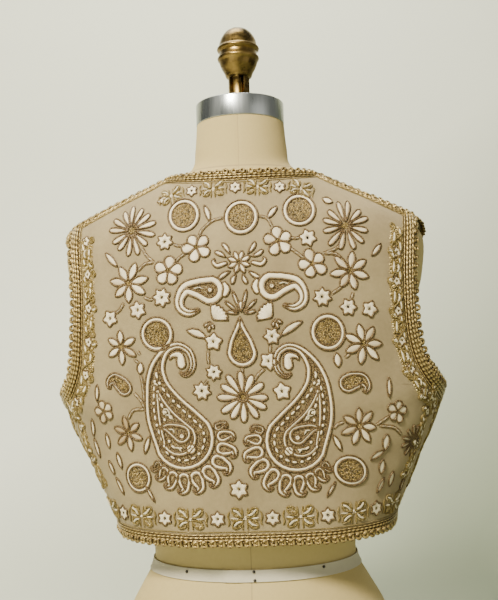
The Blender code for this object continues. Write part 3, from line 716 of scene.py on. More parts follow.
# Sewn seams of the cover: centre back and front, sides, chest lines and neck base.
def seamGroove(angle, z):
    away = np.full_like(z, 1.0)
    for seam in seams["angles"]:
        for side in (1, -1):
            turn = np.abs(np.mod(angle - side * seam + math.pi, 2 * math.pi) - math.pi)
            away = np.minimum(away, turn * form["seamRadius"])
    away = np.minimum(away, np.abs(z - form["neckSeam"] - form["neckSeamDip"] * np.cos(angle)))
    return -form["seamDepth"] * np.exp(-((away / form["seamWidth"]) ** 2))


def makeTorso():
    bpy.ops.mesh.primitive_uv_sphere_add(segments=form["sides"], ring_count=form["rows"], radius=1.0)
    item = bpy.context.object
    item.name = item.data.name = "linenForm"
    mesh = item.data
    flat = np.empty(len(mesh.vertices) * 3, np.float32)
    mesh.vertices.foreach_get("co", flat)
    ball = flat.reshape(-1, 3).astype(float)
    ring = np.rint(np.arccos(np.clip(-ball[:, 2], -1, 1)) / math.pi * form["rows"])
    angle = np.arctan2(ball[:, 0], -ball[:, 1])
    capRings = 3
    share = np.clip((ring - capRings) / (form["rows"] - 2 * capRings), 0, 1)
    z = share * form["height"]
    points = formPoint(angle, z, -form["shrink"] + seamGroove(angle, z))
    middle = formPoint(angle, z, 0.0)
    middle[:, 0] = 0.0
    middle[:, 1] = columnAt(formRings, "shift", z)
    middle[:, 2] = z
    inner = np.minimum(ring, form["rows"] - ring)
    spread = np.clip(inner / capRings, 0, 1)[:, None]
    points = middle * (1 - spread) + points * spread
    mesh.vertices.foreach_set("co", points.astype(np.float32).ravel())
    layer = mesh.uv_layers.active
    corner = np.empty(len(mesh.loops), np.int32)
    mesh.loops.foreach_get("vertex_index", corner)
    cloth = np.stack([angle * seams["flatPerTurn"], points[:, 2]], axis=1)
    layer.data.foreach_set("uv", cloth[corner].astype(np.float32).ravel())
    mesh.update()
    mesh.shade_smooth()
    mesh.set_sharp_from_angle(angle=math.radians(50))
    item.data.materials.append(materials["naturalLinen"])
    return item


# A closed band a little clear of the linen, with a lapped end.
def makeTape():
    def place(a, b):
        angle = (a - 0.5) * 2 * math.pi
        z = tape["top"] - tape["width"] * (1 - b)
        lap = np.where((angle > tape["lapStart"]) & (angle < tape["lapEnd"]), tape["lapRise"], 0.0)
        points = formPoint(angle, z, tape["gap"] + lap)
        return points, np.stack([angle * 0.1, z], axis=1)
    item = gridPiece("waistTape", 240, 4, place)
    selectOnly(item)
    bpy.ops.object.mode_set(mode="EDIT")
    bpy.ops.mesh.select_all(action="SELECT")
    bpy.ops.mesh.remove_doubles(threshold=0.00005)
    bpy.ops.object.mode_set(mode="OBJECT")
    wall = item.modifiers.new("Wall", "SOLIDIFY")
    wall.thickness = tape["thickness"]
    wall.offset = 1.0
    applyAll(item)
    item.data.shade_smooth()
    item.data.set_sharp_from_angle(angle=math.radians(40))
    item.data.materials.append(materials["twillTape"])
    return item


def plateAxis(height):
    return Vector((
        0.0,
        plate["shift"] + height * math.sin(form["neckTilt"]),
        form["height"] + plate["seat"] + height * math.cos(form["neckTilt"]),
    ))


def makePlate():
    bpy.ops.mesh.primitive_cylinder_add(
        vertices=plate["sides"], radius=plate["radius"], depth=plate["height"],
        location=plateAxis(plate["height"] / 2), rotation=(-form["neckTilt"], 0, 0),
    )
    item = bpy.context.object
    item.name = item.data.name = "neckPlate"
    edge = item.modifiers.new("Edge", "BEVEL")
    edge.width = 0.0011
    edge.segments = 3
    edge.limit_method = "ANGLE"
    applyAll(item)
    item.data.shade_smooth()
    item.data.set_sharp_from_angle(angle=math.radians(50))
    item.data.materials.append(materials["brushedAluminium"])
    return item


# The knob's outline from its foot up: height above the plate and radius
knobOutline = [
    (0.0000, 0.0170), (0.0030, 0.0168), (0.0044, 0.0160), (0.0060, 0.0138), (0.0085, 0.0122),
    (0.0120, 0.0116), (0.0300, 0.0117), (0.0310, 0.0122), (0.0322, 0.0143), (0.0340, 0.0149),
    (0.0370, 0.0160), (0.0400, 0.0177), (0.0430, 0.0193), (0.0460, 0.0205), (0.0490, 0.0212),
    (0.0505, 0.0219), (0.0518, 0.0230), (0.0532, 0.0234), (0.0546, 0.0231), (0.0560, 0.0220),
    (0.0575, 0.0209), (0.0607, 0.0209), (0.0620, 0.0222), (0.0632, 0.0234), (0.0645, 0.0237),
    (0.0658, 0.0233), (0.0670, 0.0221), (0.0682, 0.0213), (0.0710, 0.0208), (0.0740, 0.0200),
    (0.0775, 0.0185), (0.0805, 0.0167), (0.0835, 0.0143), (0.0858, 0.0116), (0.0875, 0.0085),
    (0.0886, 0.0048), (0.0890, 0.0016),
]
# Slots down the knob's stem
slots = {
    "count": 6, "depth": 0.0052, "half": 0.20, "turn": 0.22, "low": 0.011, "high": 0.0305, "stemRadius": 0.0117,
}


# Turned knob: a disc extruded ring by ring, with slots cut down its stem.
def makeKnob():
    base = plateAxis(plate["height"] + plate["seat"])
    bpy.ops.mesh.primitive_circle_add(
        vertices=96, radius=knobOutline[0][1], fill_type="NGON", location=(0, 0, 0))
    item = bpy.context.object
    item.name = item.data.name = "turnedKnob"
    bpy.ops.object.mode_set(mode="EDIT")
    bpy.ops.mesh.select_all(action="SELECT")
    for (z0, r0), (z1, r1) in zip(knobOutline, knobOutline[1:]):
        bpy.ops.mesh.extrude_region_move(TRANSFORM_OT_translate={"value": (0, 0, z1 - z0)})
        bpy.ops.transform.resize(value=(r1 / r0, r1 / r0, 1.0), center_override=(0, 0, z1))
    bpy.ops.mesh.select_all(action="SELECT")
    bpy.ops.mesh.normals_make_consistent(inside=False)
    bpy.ops.object.mode_set(mode="OBJECT")
    step = 2 * math.pi / slots["count"]
    scale = 1 - slots["depth"] / slots["stemRadius"]
    for vertex in item.data.vertices:
        if slots["low"] < vertex.co.z < slots["high"]:
            turn = math.atan2(vertex.co.y, vertex.co.x)
            away = abs((turn + slots["turn"] + step / 2) % step - step / 2)
            if away < slots["half"]:
                vertex.co.x *= scale
                vertex.co.y *= scale
    item.rotation_euler = (-form["neckTilt"], 0, 0)
    item.location = base
    applyAll(item)
    item.data.shade_smooth()
    item.data.set_sharp_from_angle(angle=math.radians(42))
    item.data.materials.append(materials["antiqueBrass"])
    return item


# Round pin heads that hold the tape, joined into one piece.
def makePins():
    heads = []
    for angle, z in pins["places"]:
        spot = formPoint(np.array(angle), np.array(z), tape["gap"] + tape["thickness"] + pins["rise"])
        bpy.ops.mesh.primitive_uv_sphere_add(
            segments=20, ring_count=12, radius=pins["radius"], location=Vector(spot))
        head = bpy.context.object
        head.data.shade_smooth()
        heads.append(head)
    bpy.ops.object.select_all(action="DESELECT")
    for head in heads:
        head.select_set(True)
    bpy.context.view_layer.objects.active = heads[0]
    bpy.ops.object.join()
    item = bpy.context.object
    item.name = item.data.name = "tapePins"
    applyAll(item)
    item.data.materials.append(materials["darkPin"])
    return item


formPieces = {
    "form_torso": (makeTorso(), "linen"), "waist_tape": (makeTape(), "twill_tape"),
    "neck_plate": (makePlate(), "brushed_aluminium"), "finial": (makeKnob(), "antique_brass"),
}
for node, (item, slotName) in formPieces.items():
    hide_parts(node)
    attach(item, "root")
tapePins = makePins()
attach(tapePins, "root")
print("stage: dress form made")

# Where the photograph was taken from, and how its frame lies
studio = {
    "cameraHeight": 0.47, "cameraDistance": 1.182, "yaw": 3.3, "roll": 2.1, "focalPixels": 1070.0,
    "horizonRow": 313.0, "axisColumn": 246.7, "imageWidth": 498.0, "imageHeight": 600.0, "sensor": 36.0,
    "floorHalf": 3.0, "sweepStart": 0.75, "sweepRadius": 0.9, "wallTop": 3.2,
    "shadeRight": 0.78, "shadeDown": -1.15, "shadeStart": 0.72,
}


# The place on the back's cloth that shows at a column and row of the photograph.
def seenAt(column, row):
    yaw, roll = math.radians(studio["yaw"]), math.radians(studio["roll"])
    dx, dz = column - studio["axisColumn"], studio["horizonRow"] - row
    across = dx * math.cos(roll) + dz * math.sin(roll)
    up = -dx * math.sin(roll) + dz * math.cos(roll)
    ahead = np.array([-math.sin(yaw), math.cos(yaw), 0.0]) * studio["focalPixels"]
    ray = ahead + np.array([math.cos(yaw), math.sin(yaw), 0.0]) * across + np.array([0.0, 0.0, 1.0]) * up
    eye = np.array([math.sin(yaw), -math.cos(yaw), 0.0]) * studio["cameraDistance"]
    eye[2] = studio["cameraHeight"]
    depth = -0.11
    for _ in range(30):
        spot = eye + ray * (depth - eye[1]) / ray[1]
        sway = cut["sway"] * smoothStep((cut["swayTop"] - spot[2]) / (cut["swayTop"] - cut["swayBottom"]))
        angle = backAngle(abs(spot[0] - sway), spot[2]) * math.copysign(1, spot[0] - sway)
        depth = 0.6 * depth + 0.4 * float(ringPoint(np.array(angle), np.array(spot[2]))[1])
    return float(arcAt(np.array(angle), np.array(spot[2]))), float(spot[2])


# Embroidery, laid flat in metres and joined by kind of thread
chance = np.random.default_rng(7)
stitches = {}
# Each kind of thread, with its material and its slot
threadUses = {
    "silk": ("creamSilk", "embroidered_cloth"), "cord": ("couchedCord", "embroidered_cloth"),
    "goldSilk": ("goldSilk", "embroidered_cloth"), "knots": ("goldKnots", "embroidered_cloth"),
    "braid": ("giltBraid", "gilt_braid"),
}


def clearStitches():
    for kind in threadUses:
        stitches[kind] = []


def runLength(path):
    steps = np.linalg.norm(np.diff(path[:, :2], axis=0), axis=1)
    return np.concatenate([[0.0], np.cumsum(steps)])


def evenPath(path, spacing, closed=False):
    path = np.asarray(path, float)
    if closed:
        path = np.vstack([path, path[:1]])
    keep = np.concatenate([[True], np.diff(runLength(path)) > 1e-7])
    path = path[keep]
    run = runLength(path)
    count = max(int(round(run[-1] / spacing)), 6 if closed else 2)
    at = np.linspace(0, run[-1], count + 1)
    even = np.stack([np.interp(at, run, column) for column in path.T], axis=1)
    return even[:-1] if closed else even


def smoothCurve(points, steps=8, closed=False):
    p = np.asarray(points, float)
    if closed:
        p = np.vstack([p[-1:], p, p[:2]])
    else:
        p = np.vstack([2 * p[:1] - p[1:2], p, 2 * p[-1:] - p[-2:-1]])
    t = np.linspace(0, 1, steps, endpoint=False)[:, None]
    runs = []
    for a, b, c, d in zip(p, p[1:], p[2:], p[3:]):
        square, cube = 2 * a - 5 * b + 4 * c - d, 3 * b - a - 3 * c + d
        runs.append(0.5 * (2 * b + (c - a) * t + square * t ** 2 + cube * t ** 3))
    if not closed:
        runs.append(p[-2:-1])
    return np.vstack(runs)


# Directions ahead and to the right, along a flat path.
def pathSides(path, closed=False):
    if closed:
        ahead = np.roll(path, -1, axis=0) - np.roll(path, 1, axis=0)
    else:
        ahead = np.gradient(path, axis=0)
    ahead = ahead / np.maximum(np.linalg.norm(ahead, axis=1, keepdims=True), 1e-9)
    return ahead, np.stack([ahead[:, 1], -ahead[:, 0]], axis=1)


# Directions to the right of a path on the cloth, each a true metre long on the body.
def clothSides(path, closed=False):
    side = pathSides(path, closed)[1]
    if path[:, 1].max() < 0.52:
        return side
    there, here = path + side * 0.001, path - side * 0.001
    worn = wornPoint(there[:, 0], there[:, 1], 0.0) - wornPoint(here[:, 0], here[:, 1], 0.0)
    stretch = np.linalg.norm(worn, axis=1) / 0.002
    return side / np.clip(stretch, 1.0, 5.0)[:, None]


# A net of points in (s, z, lift), with its thread coordinates and its tone.
def addSheet(kind, grid, along, across, tone, closeRows=False, closeColumns=False):
    rows, columns = grid.shape[:2]
    i, j = np.meshgrid(
        np.arange(rows if closeRows else rows - 1),
        np.arange(columns if closeColumns else columns - 1), indexing="ij",
    )
    i2, j2 = (i + 1) % rows, (j + 1) % columns
    quads = np.stack([i * columns + j, i2 * columns + j, i2 * columns + j2, i * columns + j2], axis=-1)
    corners = [(i, j), (i + 1, j), (i + 1, j + 1), (i, j + 1)]
    flat = np.stack([np.stack([along[a], across[b]], axis=-1) for a, b in corners], axis=-2)
    tones = np.clip(np.broadcast_to(tone, (rows, columns)), 0, 1).ravel()
    stitches[kind].append((grid.reshape(-1, 3), quads.reshape(-1, 4), flat.reshape(-1, 2), tones))


# A round cord laid along a path, which may carry its own lift as a third column.
def addCord(kind, path, radius=0.00045, lift=0.0, tone=0.1, closed=False, spacing=0.0020, sides=5, twistShading=0.0):
    path = evenPath(path, spacing, closed)
    side = clothSides(path[:, :2], closed)
    size = np.full(len(path), radius)
    if not closed:
        size[[0, -1]] = radius * 0.3
    turn = np.arange(sides) / sides * 2 * math.pi + 0.3
    flat = path[:, None, :2] + side[:, None, :] * (size[:, None] * np.cos(turn))[..., None]
    rise = lift + size[:, None] * (0.85 + np.sin(turn))
    if path.shape[1] > 2:
        rise = rise + path[:, 2:3]
    run = runLength(np.vstack([path, path[:1]]))
    grid = np.concatenate([flat, rise[..., None]], axis=-1)
    # Light and dark turns follow the strands round the cord: painted highlights and shade of the twisted cord.
    strands = tone + twistShading * np.cos(np.arange(len(path))[:, None] * 2.1 - turn[None, :])
    addSheet(kind, grid, run, np.arange(sides + 1) / sides, strands, closed, True)


# Stitches laid side by side from one line to another, raised in their middle.
def addSatin(kind, left, right, crown=0.0009, tone=0.1, closed=False, across=4, lift=0.00008):
    t = np.linspace(0, 1, across + 1)
    flat = left[:, None] * (1 - t)[None, :, None] + right[:, None] * t[None, :, None]
    width = np.linalg.norm(right - left, axis=1)
    dome = np.sqrt(np.maximum(1 - (2 * t - 1) ** 2, 0))
    rise = lift + crown * np.clip(width / 0.003, 0.15, 1)[:, None] * dome
    grid = np.concatenate([flat, rise[..., None]], axis=-1)
    a, b = flat[1:, :-1] - flat[:-1, :-1], flat[:-1, 1:] - flat[:-1, :-1]
    if np.sum(a[..., 0] * b[..., 1] - a[..., 1] * b[..., 0]) < 0:
        grid = grid[:, ::-1]
    middle = (left + right) / 2
    run = runLength(np.vstack([middle, middle[:1]]))
    # Cream silk is painted darker toward both edges of each band: painted shade of the rounded satin.
    rim = 0.42 if kind == "silk" else 0.0
    addSheet(kind, grid, run, t * float(width.mean()), tone + rim * (1 - dome), closed)


def inside(points, loop):
    x, y = points[:, 0, None], points[:, 1, None]
    (x0, y0), (x1, y1) = loop.T, np.roll(loop, -1, axis=0).T
    crossing = ((y0 > y) != (y1 > y)) & (x < (x1 - x0) * (y - y0) / (y1 - y0 + 1e-12) + x0)
    return crossing.sum(axis=1) % 2 == 1


# Small raised knots that fill a closed outline.
def addKnots(kind, loop, pitch=0.0018, size=0.0011, tone=0.3, lift=0.0, holes=()):
    low, high = loop.min(axis=0), loop.max(axis=0)
    rows = np.arange(low[1], high[1] + pitch, pitch * 0.87)
    x, y = np.meshgrid(np.arange(low[0], high[0] + pitch, pitch), rows)
    x = x + (np.arange(len(rows)) % 2)[:, None] * pitch / 2
    spots = np.stack([x.ravel(), y.ravel()], axis=1)
    spots = spots + chance.normal(0, pitch * 0.14, spots.shape)
    spots = spots[inside(spots, loop)]
    for hole in holes:
        spots = spots[~inside(spots, hole)]
    count = len(spots)
    if count == 0:
        return
    turn = chance.uniform(0, 2 * math.pi, count)[:, None] + np.arange(4) * math.pi / 2
    reach = (size * chance.uniform(0.8, 1.15, count))[:, None]
    ring = np.stack([np.cos(turn), np.sin(turn)], axis=-1)
    foot = np.concatenate([spots[:, None] + ring * reach[..., None], np.full((count, 4, 1), lift)], axis=-1)
    crown = spots[:, None] + ring * reach[..., None] * 0.5
    top = np.concatenate([crown, np.broadcast_to((lift + reach * 0.95)[..., None], (count, 4, 1))], axis=-1)
    points = np.concatenate([foot, top], axis=1).reshape(-1, 3)
    one = np.array([[0, 1, 5, 4], [1, 2, 6, 5], [2, 3, 7, 6], [3, 0, 4, 7], [4, 5, 6, 7]])
    quads = (np.arange(count)[:, None, None] * 8 + one).reshape(-1, 4)
    shades = np.repeat(np.clip(tone + chance.uniform(-0.45, 0.60, count), 0, 1), 8)
    stitches[kind].append((points, quads, points[quads.ravel(), :2], shades))


# Turns a motif's own millimetres into the cloth's flat metres.
def placer(at, turn=0.0, size=1.0, mirror=False):
    c, k = math.cos(math.radians(turn)), math.sin(math.radians(turn))
    flip = -1.0 if mirror else 1.0

    def put(points):
        p = np.asarray(points, float)[..., :2] * size * 0.001
        x, y = p[..., 0], p[..., 1]
        return np.stack([at[0] + flip * (x * c - y * k), at[1] + x * k + y * c], axis=-1)
    return put


def circlePath(radius, steps=36, squash=1.0):
    turn = np.linspace(0, 2 * math.pi, steps, endpoint=False)
    return np.stack([radius * np.sin(turn), radius * squash * np.cos(turn)], axis=1)


def outline(put, loop, tone=0.12, radius=0.0010):
    addCord("cord", put(loop), radius, tone=tone, closed=True, twistShading=0.3)


# Petals, as shares of the flower's radius
petalShapes = {
    "narrow": {"start": 0.15, "widest": 0.72, "halfWidth": 0.106, "blunt": 0.42},
    "round": {"start": 0.12, "widest": 0.64, "halfWidth": 0.370, "blunt": 0.48},
    "pointed": {"start": 0.12, "widest": 0.54, "halfWidth": 0.195, "blunt": 0.80},
    "long": {"start": 0.10, "widest": 0.70, "halfWidth": 0.135, "blunt": 0.45},
}


def petalSides(length, start, halfWidth, widest, blunt, bend=0.0, steps=10):
    t = (1 - np.cos(np.linspace(0, math.pi, steps + 1))) / 2
    power = math.log(0.5) / math.log(widest)
    width = halfWidth * np.maximum(np.sin(math.pi * t ** power), 0) ** blunt
    y = start + (length - start) * t
    x = bend * 4 * t * (1 - t)
    return np.stack([x - width, y], axis=1), np.stack([x + width, y], axis=1)


def addPetal(put, left, right, tone=0.1, kind="silk", edge="cord"):
    addSatin(kind, put(left), put(right), 0.0010, tone)
    addCord(edge, put(np.vstack([left, right[::-1]])), 0.0010, tone=0.12, closed=True, twistShading=0.3)


def addFlower(at, radius, petals, shape, turn=0.0, tone=0.08, mirror=False, size=1.0):
    petal = petalShapes[shape]
    for index in range(petals):
        put = placer(at, turn + index * 360 / petals + chance.uniform(-4, 4), size, mirror)
        length = radius * (1 + chance.uniform(-0.10, 0.06))
        left, right = petalSides(
            length, radius * petal["start"], radius * petal["halfWidth"], petal["widest"], petal["blunt"])
        worn = 0.28 if chance.uniform() < 0.22 else 0.0
        addPetal(put, left, right, tone + worn + chance.uniform(-0.06, 0.16))
    put = placer(at, turn, size, mirror)
    addKnots("knots", put(circlePath(radius * 0.11 + 0.6)), 0.0013, 0.0009, 0.1, 0.0005)


# A small scalloped flower worked from its rim to a dark eye.
def addRosette(at, radius=8.0, lobes=6, turn=0.0, tone=0.02, mirror=False, size=1.0):
    theta = np.linspace(0, 2 * math.pi, lobes * 8, endpoint=False)
    tip = np.abs((theta * lobes / (2 * math.pi)) % 1.0 - 0.5) * 2
    reach = radius * (0.70 + 0.40 * tip ** 1.2)
    tone = tone + chance.uniform(-0.05, 0.15)
    loop = np.stack([reach * np.sin(theta), reach * np.cos(theta)], axis=1)
    put = placer(at, turn, size, mirror)
    addSatin("silk", put(loop), put(loop * 0.12), 0.0013, tone, True, 5)
    outline(put, loop)
    addKnots("knots", put(circlePath(1.3)), 0.0012, 0.0008, 0.8, 0.0006)


def addRoundel(at, radius, squash=1.0, turn=0.0, tone=0.05, mirror=False, size=1.0):
    put = placer(at, turn, size, mirror)
    ring = circlePath(radius, 44, squash)
    outline(put, ring)
    addSatin("silk", put(ring * 0.955), put(ring * 0.77), 0.0010, tone, True)
    outline(put, ring * 0.745)
    addKnots("knots", put(ring * 0.72), 0.0017, 0.0011, 0.3)


# A leaf between two places on the cloth, its width and bend in millimetres.
def addLeaf(base, tip, width, tone=0.1, bend=0.0, kind="silk", edge="cord", widest=0.5):
    run = (tip[0] - base[0], tip[1] - base[1])
    length = math.hypot(*run) * 1000
    put = placer(base, math.degrees(math.atan2(run[1], run[0])) - 90)
    left, right = petalSides(length, 0.0, width / 2, widest, 0.8, bend)
    addPetal(put, left, right, tone, kind, edge)


# Two cords side by side with paler thread between them.
def addStem(spots, gap=0.0013, tone=0.2):
    path = evenPath(smoothCurve(spots), 0.002)
    side = pathSides(path)[1]
    for offset in (-gap, gap):
        addCord("cord", path + side * offset, 0.0006, tone=tone, twistShading=0.35)
    addCord("silk", path, 0.0008, tone=0.7, twistShading=0.3)


# The outline round a spine of (x, z, half width), with a round end at its last row.
def spineLoop(rows, inset=0.0, capSteps=12):
    curve = smoothCurve(rows, 8)
    width = np.maximum(curve[:, 2] - inset, 0.15)[:, None]
    ahead, side = pathSides(curve[:, :2])
    turn = np.linspace(0, math.pi, capSteps + 1)[1:-1, None]
    cap = curve[-1, :2] + width[-1] * (ahead[-1] * np.sin(turn) - side[-1] * np.cos(turn))
    return np.vstack([curve[:, :2] - side * width, cap, (curve[:, :2] + side * width)[::-1]])


# Satin across a whole spine shape, with a cord round it.
def fillSpine(put, rows, tone, crown=0.0014):
    loop = spineLoop(rows)
    half = len(loop) // 2 + 1
    addSatin("silk", put(loop[:half]), put(loop[::-1][:half]), crown, tone)
    outline(put, loop)


# A cream band that follows a spine's outline, corded on both sides.
def addBand(put, rows, width, tone=0.05, edge=0.5):
    outline(put, spineLoop(rows))
    addSatin("silk", put(spineLoop(rows, edge)), put(spineLoop(rows, edge + width)), 0.0011, tone, True)
    outline(put, spineLoop(rows, width + 2 * edge))


bigPaisley = {
    "spine": [
        (1.0, 67.0, 0.8), (6.5, 64.0, 2.0), (13.4, 69.0, 2.7), (15.3, 78.0, 3.1), (12.0, 88.0, 3.3),
        (2.0, 93.5, 3.4), (-10.0, 89.5, 4.0), (-19.0, 78.0, 6.4), (-22.8, 66.0, 9.5),
        (-22.5, 50.0, 14.5), (-15.0, 26.0, 24.0), (0.0, 0.0, 32.0),
    ],
    "band": 3.5,
    "innerSpine": [(-24.5, 55.0, 0.4), (-22.0, 40.0, 4.2), (-15.5, 21.0, 10.5), (-4.5, 1.0, 18.5)],
    "heartSpine": [(-25.0, 11.0, 0.4), (-16.0, 11.5, 4.6), (-7.0, 8.0, 8.0), (-1.5, 5.0, 9.6)],
    "comma": [(-7.0, 79.5, 0.6), (-6.5, 82.5, 1.3), (-2.0, 84.5, 2.4), (3.0, 83.0, 3.8), (3.6, 75.0, 4.6)],
    "sprigs": [((-19, 30), (-12, 24)), ((-17, 24), (-9, 19)), ((-14, 9.5), (-8, 5.5)), ((-9, -9), (-2, -13))],
    "seedInset": 9.8, "seedPitch": 7.4, "innerSeedInset": 7.6,
    "curlCentre": (3.0, 78.0), "curlReach": 26.0, "fringeFoot": 33.2,
}
fringe = [
    {"angle": 18, "size": 0.62}, {"angle": 3, "size": 0.84}, {"angle": -15, "size": 1.00},
    {"angle": -34, "size": 1.08}, {"angle": -54, "size": 1.08}, {"angle": -73, "size": 1.04},
    {"angle": -91, "size": 1.00}, {"angle": -108, "size": 0.92}, {"angle": -123, "size": 0.76},
    {"angle": -136, "size": 0.60},
]
curlSpine = [(6.8, 17.4, 0.7), (4.2, 20.8, 2.1), (-0.6, 18.6, 4.2), (-0.6, 12.6, 6.3), (0.0, 7.9, 7.2)]


# The large paisley: nested bands, a seeded ground and a fringe of small curls.
def addPaisley(at, turn=0.0, size=1.0, mirror=False, tone=0.04):
    put = placer(at, turn, size, mirror)
    spine, band = bigPaisley["spine"], bigPaisley["band"]
    addBand(put, spine, band, tone)
    addBand(put, bigPaisley["innerSpine"], 2.4, tone)
    addBand(put, bigPaisley["heartSpine"], 2.2, tone)
    ground = spineLoop(spine, band + 1.6)
    inner, heart = bigPaisley["innerSpine"], bigPaisley["heartSpine"]
    dot, ring = circlePath(4.9) + (8.0, -10.5), circlePath(2.8) + (-1.0, 2.6)
    addKnots("cord", put(ground), 0.0018, 0.0010, 0.15, holes=[put(spineLoop(inner, -0.4))])
    holes = [put(spineLoop(heart, -0.4)), put(dot)]
    addKnots("cord", put(spineLoop(inner, 3.8)), 0.0018, 0.0010, 0.2, holes=holes)
    addKnots("cord", put(spineLoop(heart, 3.6)), 0.0018, 0.0010, 0.15, holes=[put(ring)])
    for loop in (dot, ring):
        middle = loop.mean(axis=0)
        addSatin("silk", put(loop), put(middle + (loop - middle) * 0.1), 0.0014, tone, True)
        outline(put, loop)

    def addSeeds(around, inset, avoid):
        seeds = evenPath(spineLoop(around, inset), bigPaisley["seedPitch"], True)
        for index, (spot, ahead) in enumerate(zip(seeds, pathSides(seeds, True)[0])):
            nearCurl = math.dist(spot, bigPaisley["curlCentre"]) < bigPaisley["curlReach"]
            if nearCurl or any(inside(spot[None], loop)[0] for loop in avoid):
                continue
            angle = math.degrees(math.atan2(ahead[1], ahead[0])) - 90
            seedPut = placer(put(spot), angle + turn if not mirror else 180 - angle - turn, size)
            half, width = (3.1, 1.5) if index % 3 != 1 else (1.9, 1.9)
            left, right = petalSides(half, -half, width, 0.5, 0.6)
            addSatin("silk", seedPut(left), seedPut(right), 0.0017, tone + chance.uniform(0, 0.1))
            addCord("cord", seedPut(np.vstack([left, right[::-1]])), 0.0005, 0.0004, closed=True)

    addSeeds(spine, bigPaisley["seedInset"], [])
    addSeeds(inner, bigPaisley["innerSeedInset"], [spineLoop(heart, -2.0), circlePath(7.0) + (8.0, -10.5)])
    for start, end in bigPaisley["sprigs"]:
        bend = ((start[0] + end[0]) / 2 + 1.2, start[1])
        addCord("silk", put([start, bend, end]), 0.0009, 0.0008, tone)
    fillSpine(put, bigPaisley["comma"], tone)
    for row in fringe:
        angle = math.radians(row["angle"])
        foot = (bigPaisley["fringeFoot"] * math.cos(angle), bigPaisley["fringeFoot"] * math.sin(angle))
        lean = row["angle"] - 90 + turn
        curl = placer(put(foot), lean, row["size"] * size, mirror)
        addBand(curl, curlSpine, 3.2, tone + chance.uniform(0, 0.16), 0.4)
        addKnots("cord", curl(spineLoop(curlSpine, 4.6)), 0.0018, 0.0009, 0.5)


lyingPaisley = [
    (-10.5, -19.0, 1.4), (-21.0, -22.0, 3.4), (-29.5, -17.0, 4.3), (-30.5, -7.5, 4.8),
    (-24.0, 2.0, 6.6), (-12.0, 2.5, 10.2), (0.0, 0.0, 14.2),
]


def addLyingPaisley(at, mirror=False, size=1.0, turn=0.0, tone=0.02):
    put = placer(at, turn, size, mirror)
    outer = spineLoop(lyingPaisley)
    outline(put, outer)
    addSatin("silk", put(spineLoop(lyingPaisley, 0.4)), put(spineLoop(lyingPaisley, 6.2)), 0.0015, tone, True, 5)
    eye = spineLoop(lyingPaisley, 6.6)
    outline(put, eye)
    dot = circlePath(2.7) + (0.5, 0.2)
    addKnots("cord", put(spineLoop(lyingPaisley, 7.2)), 0.0016, 0.0009, 0.2, holes=[put(dot)])
    addSatin("silk", put(dot), put((dot - (0.5, 0.2)) * 0.15 + (0.5, 0.2)), 0.0014, tone, True)
    outline(put, dot)
    addCord("silk", put([(-16, 1.4), (-11, 3.0), (-6.5, 1.6)]), 0.0007, 0.0007, tone)
    fillSpine(put, [(14.5, 7.0, 1.6), (17.0, 1.0, 3.4), (15.5, -4.0, 3.0)], tone)


teardropSpine = [(0.0, 35.0, 0.4), (0.0, 24.0, 5.2), (0.0, 12.0, 11.2), (0.0, 0.0, 14.8)]
kidneySpine = [(12.5, -8.0, 2.0), (15.0, -1.5, 4.2), (9.5, 5.0, 7.0), (0.0, 3.0, 9.4), (-6.0, 0.0, 9.8)]


def addFilledDrop(at, spine, band, turn=0.0, size=1.0, mirror=False, tone=0.06):
    put = placer(at, turn, size, mirror)
    addBand(put, spine, band, tone)
    addKnots("knots", put(spineLoop(spine, band + 1.5)), 0.0017, 0.0011, 0.3)


def addPalmette(at, mirror=False, size=1.0):
    leaves = [(-19, 25), (14, 25), (-50, 21), (48, 21), (-78, 15), (79, 15)]
    for angle, length in leaves:
        put = placer(at, -angle, size, mirror)
        left, right = petalSides(length, 3.0, 1.5, 0.62, 0.6)
        addPetal(put, left, right, 0.1)
    put = placer(at, 0, size, mirror)
    left, right = petalSides(13.0, 2.0, 3.0, 0.7, 0.7)
    addPetal(put, left, right, 0.03)


# A toothed fan on a twig with three small leaves.
def addCarnation(base, turn, mirror=False, size=1.0):
    put = placer(base, turn, size, mirror)
    theta = np.radians(np.linspace(-46, 46, 31))
    reach = 17.5 * (0.84 + 0.16 * np.abs(np.cos(np.linspace(0, 6 * math.pi, 31))))
    rim = np.stack([reach * np.sin(theta), reach * np.cos(theta)], axis=1)
    heel = np.stack([1.6 * np.sin(theta), 1.6 + 0.6 * np.cos(theta)], axis=1)
    addSatin("silk", put(rim), put(heel), 0.0014, 0.04, False, 5)
    outline(put, np.vstack([rim, heel[::-1]]))
    for angle, length in ((150, 11), (190, 9), (115, 8)):
        twig = placer(put(np.array([0.0, -1.0])), (turn - angle) if not mirror else -(turn - angle), size)
        left, right = petalSides(length, 1.0, 1.5, 0.6, 0.7)
        addPetal(twig, left, right, 0.12)


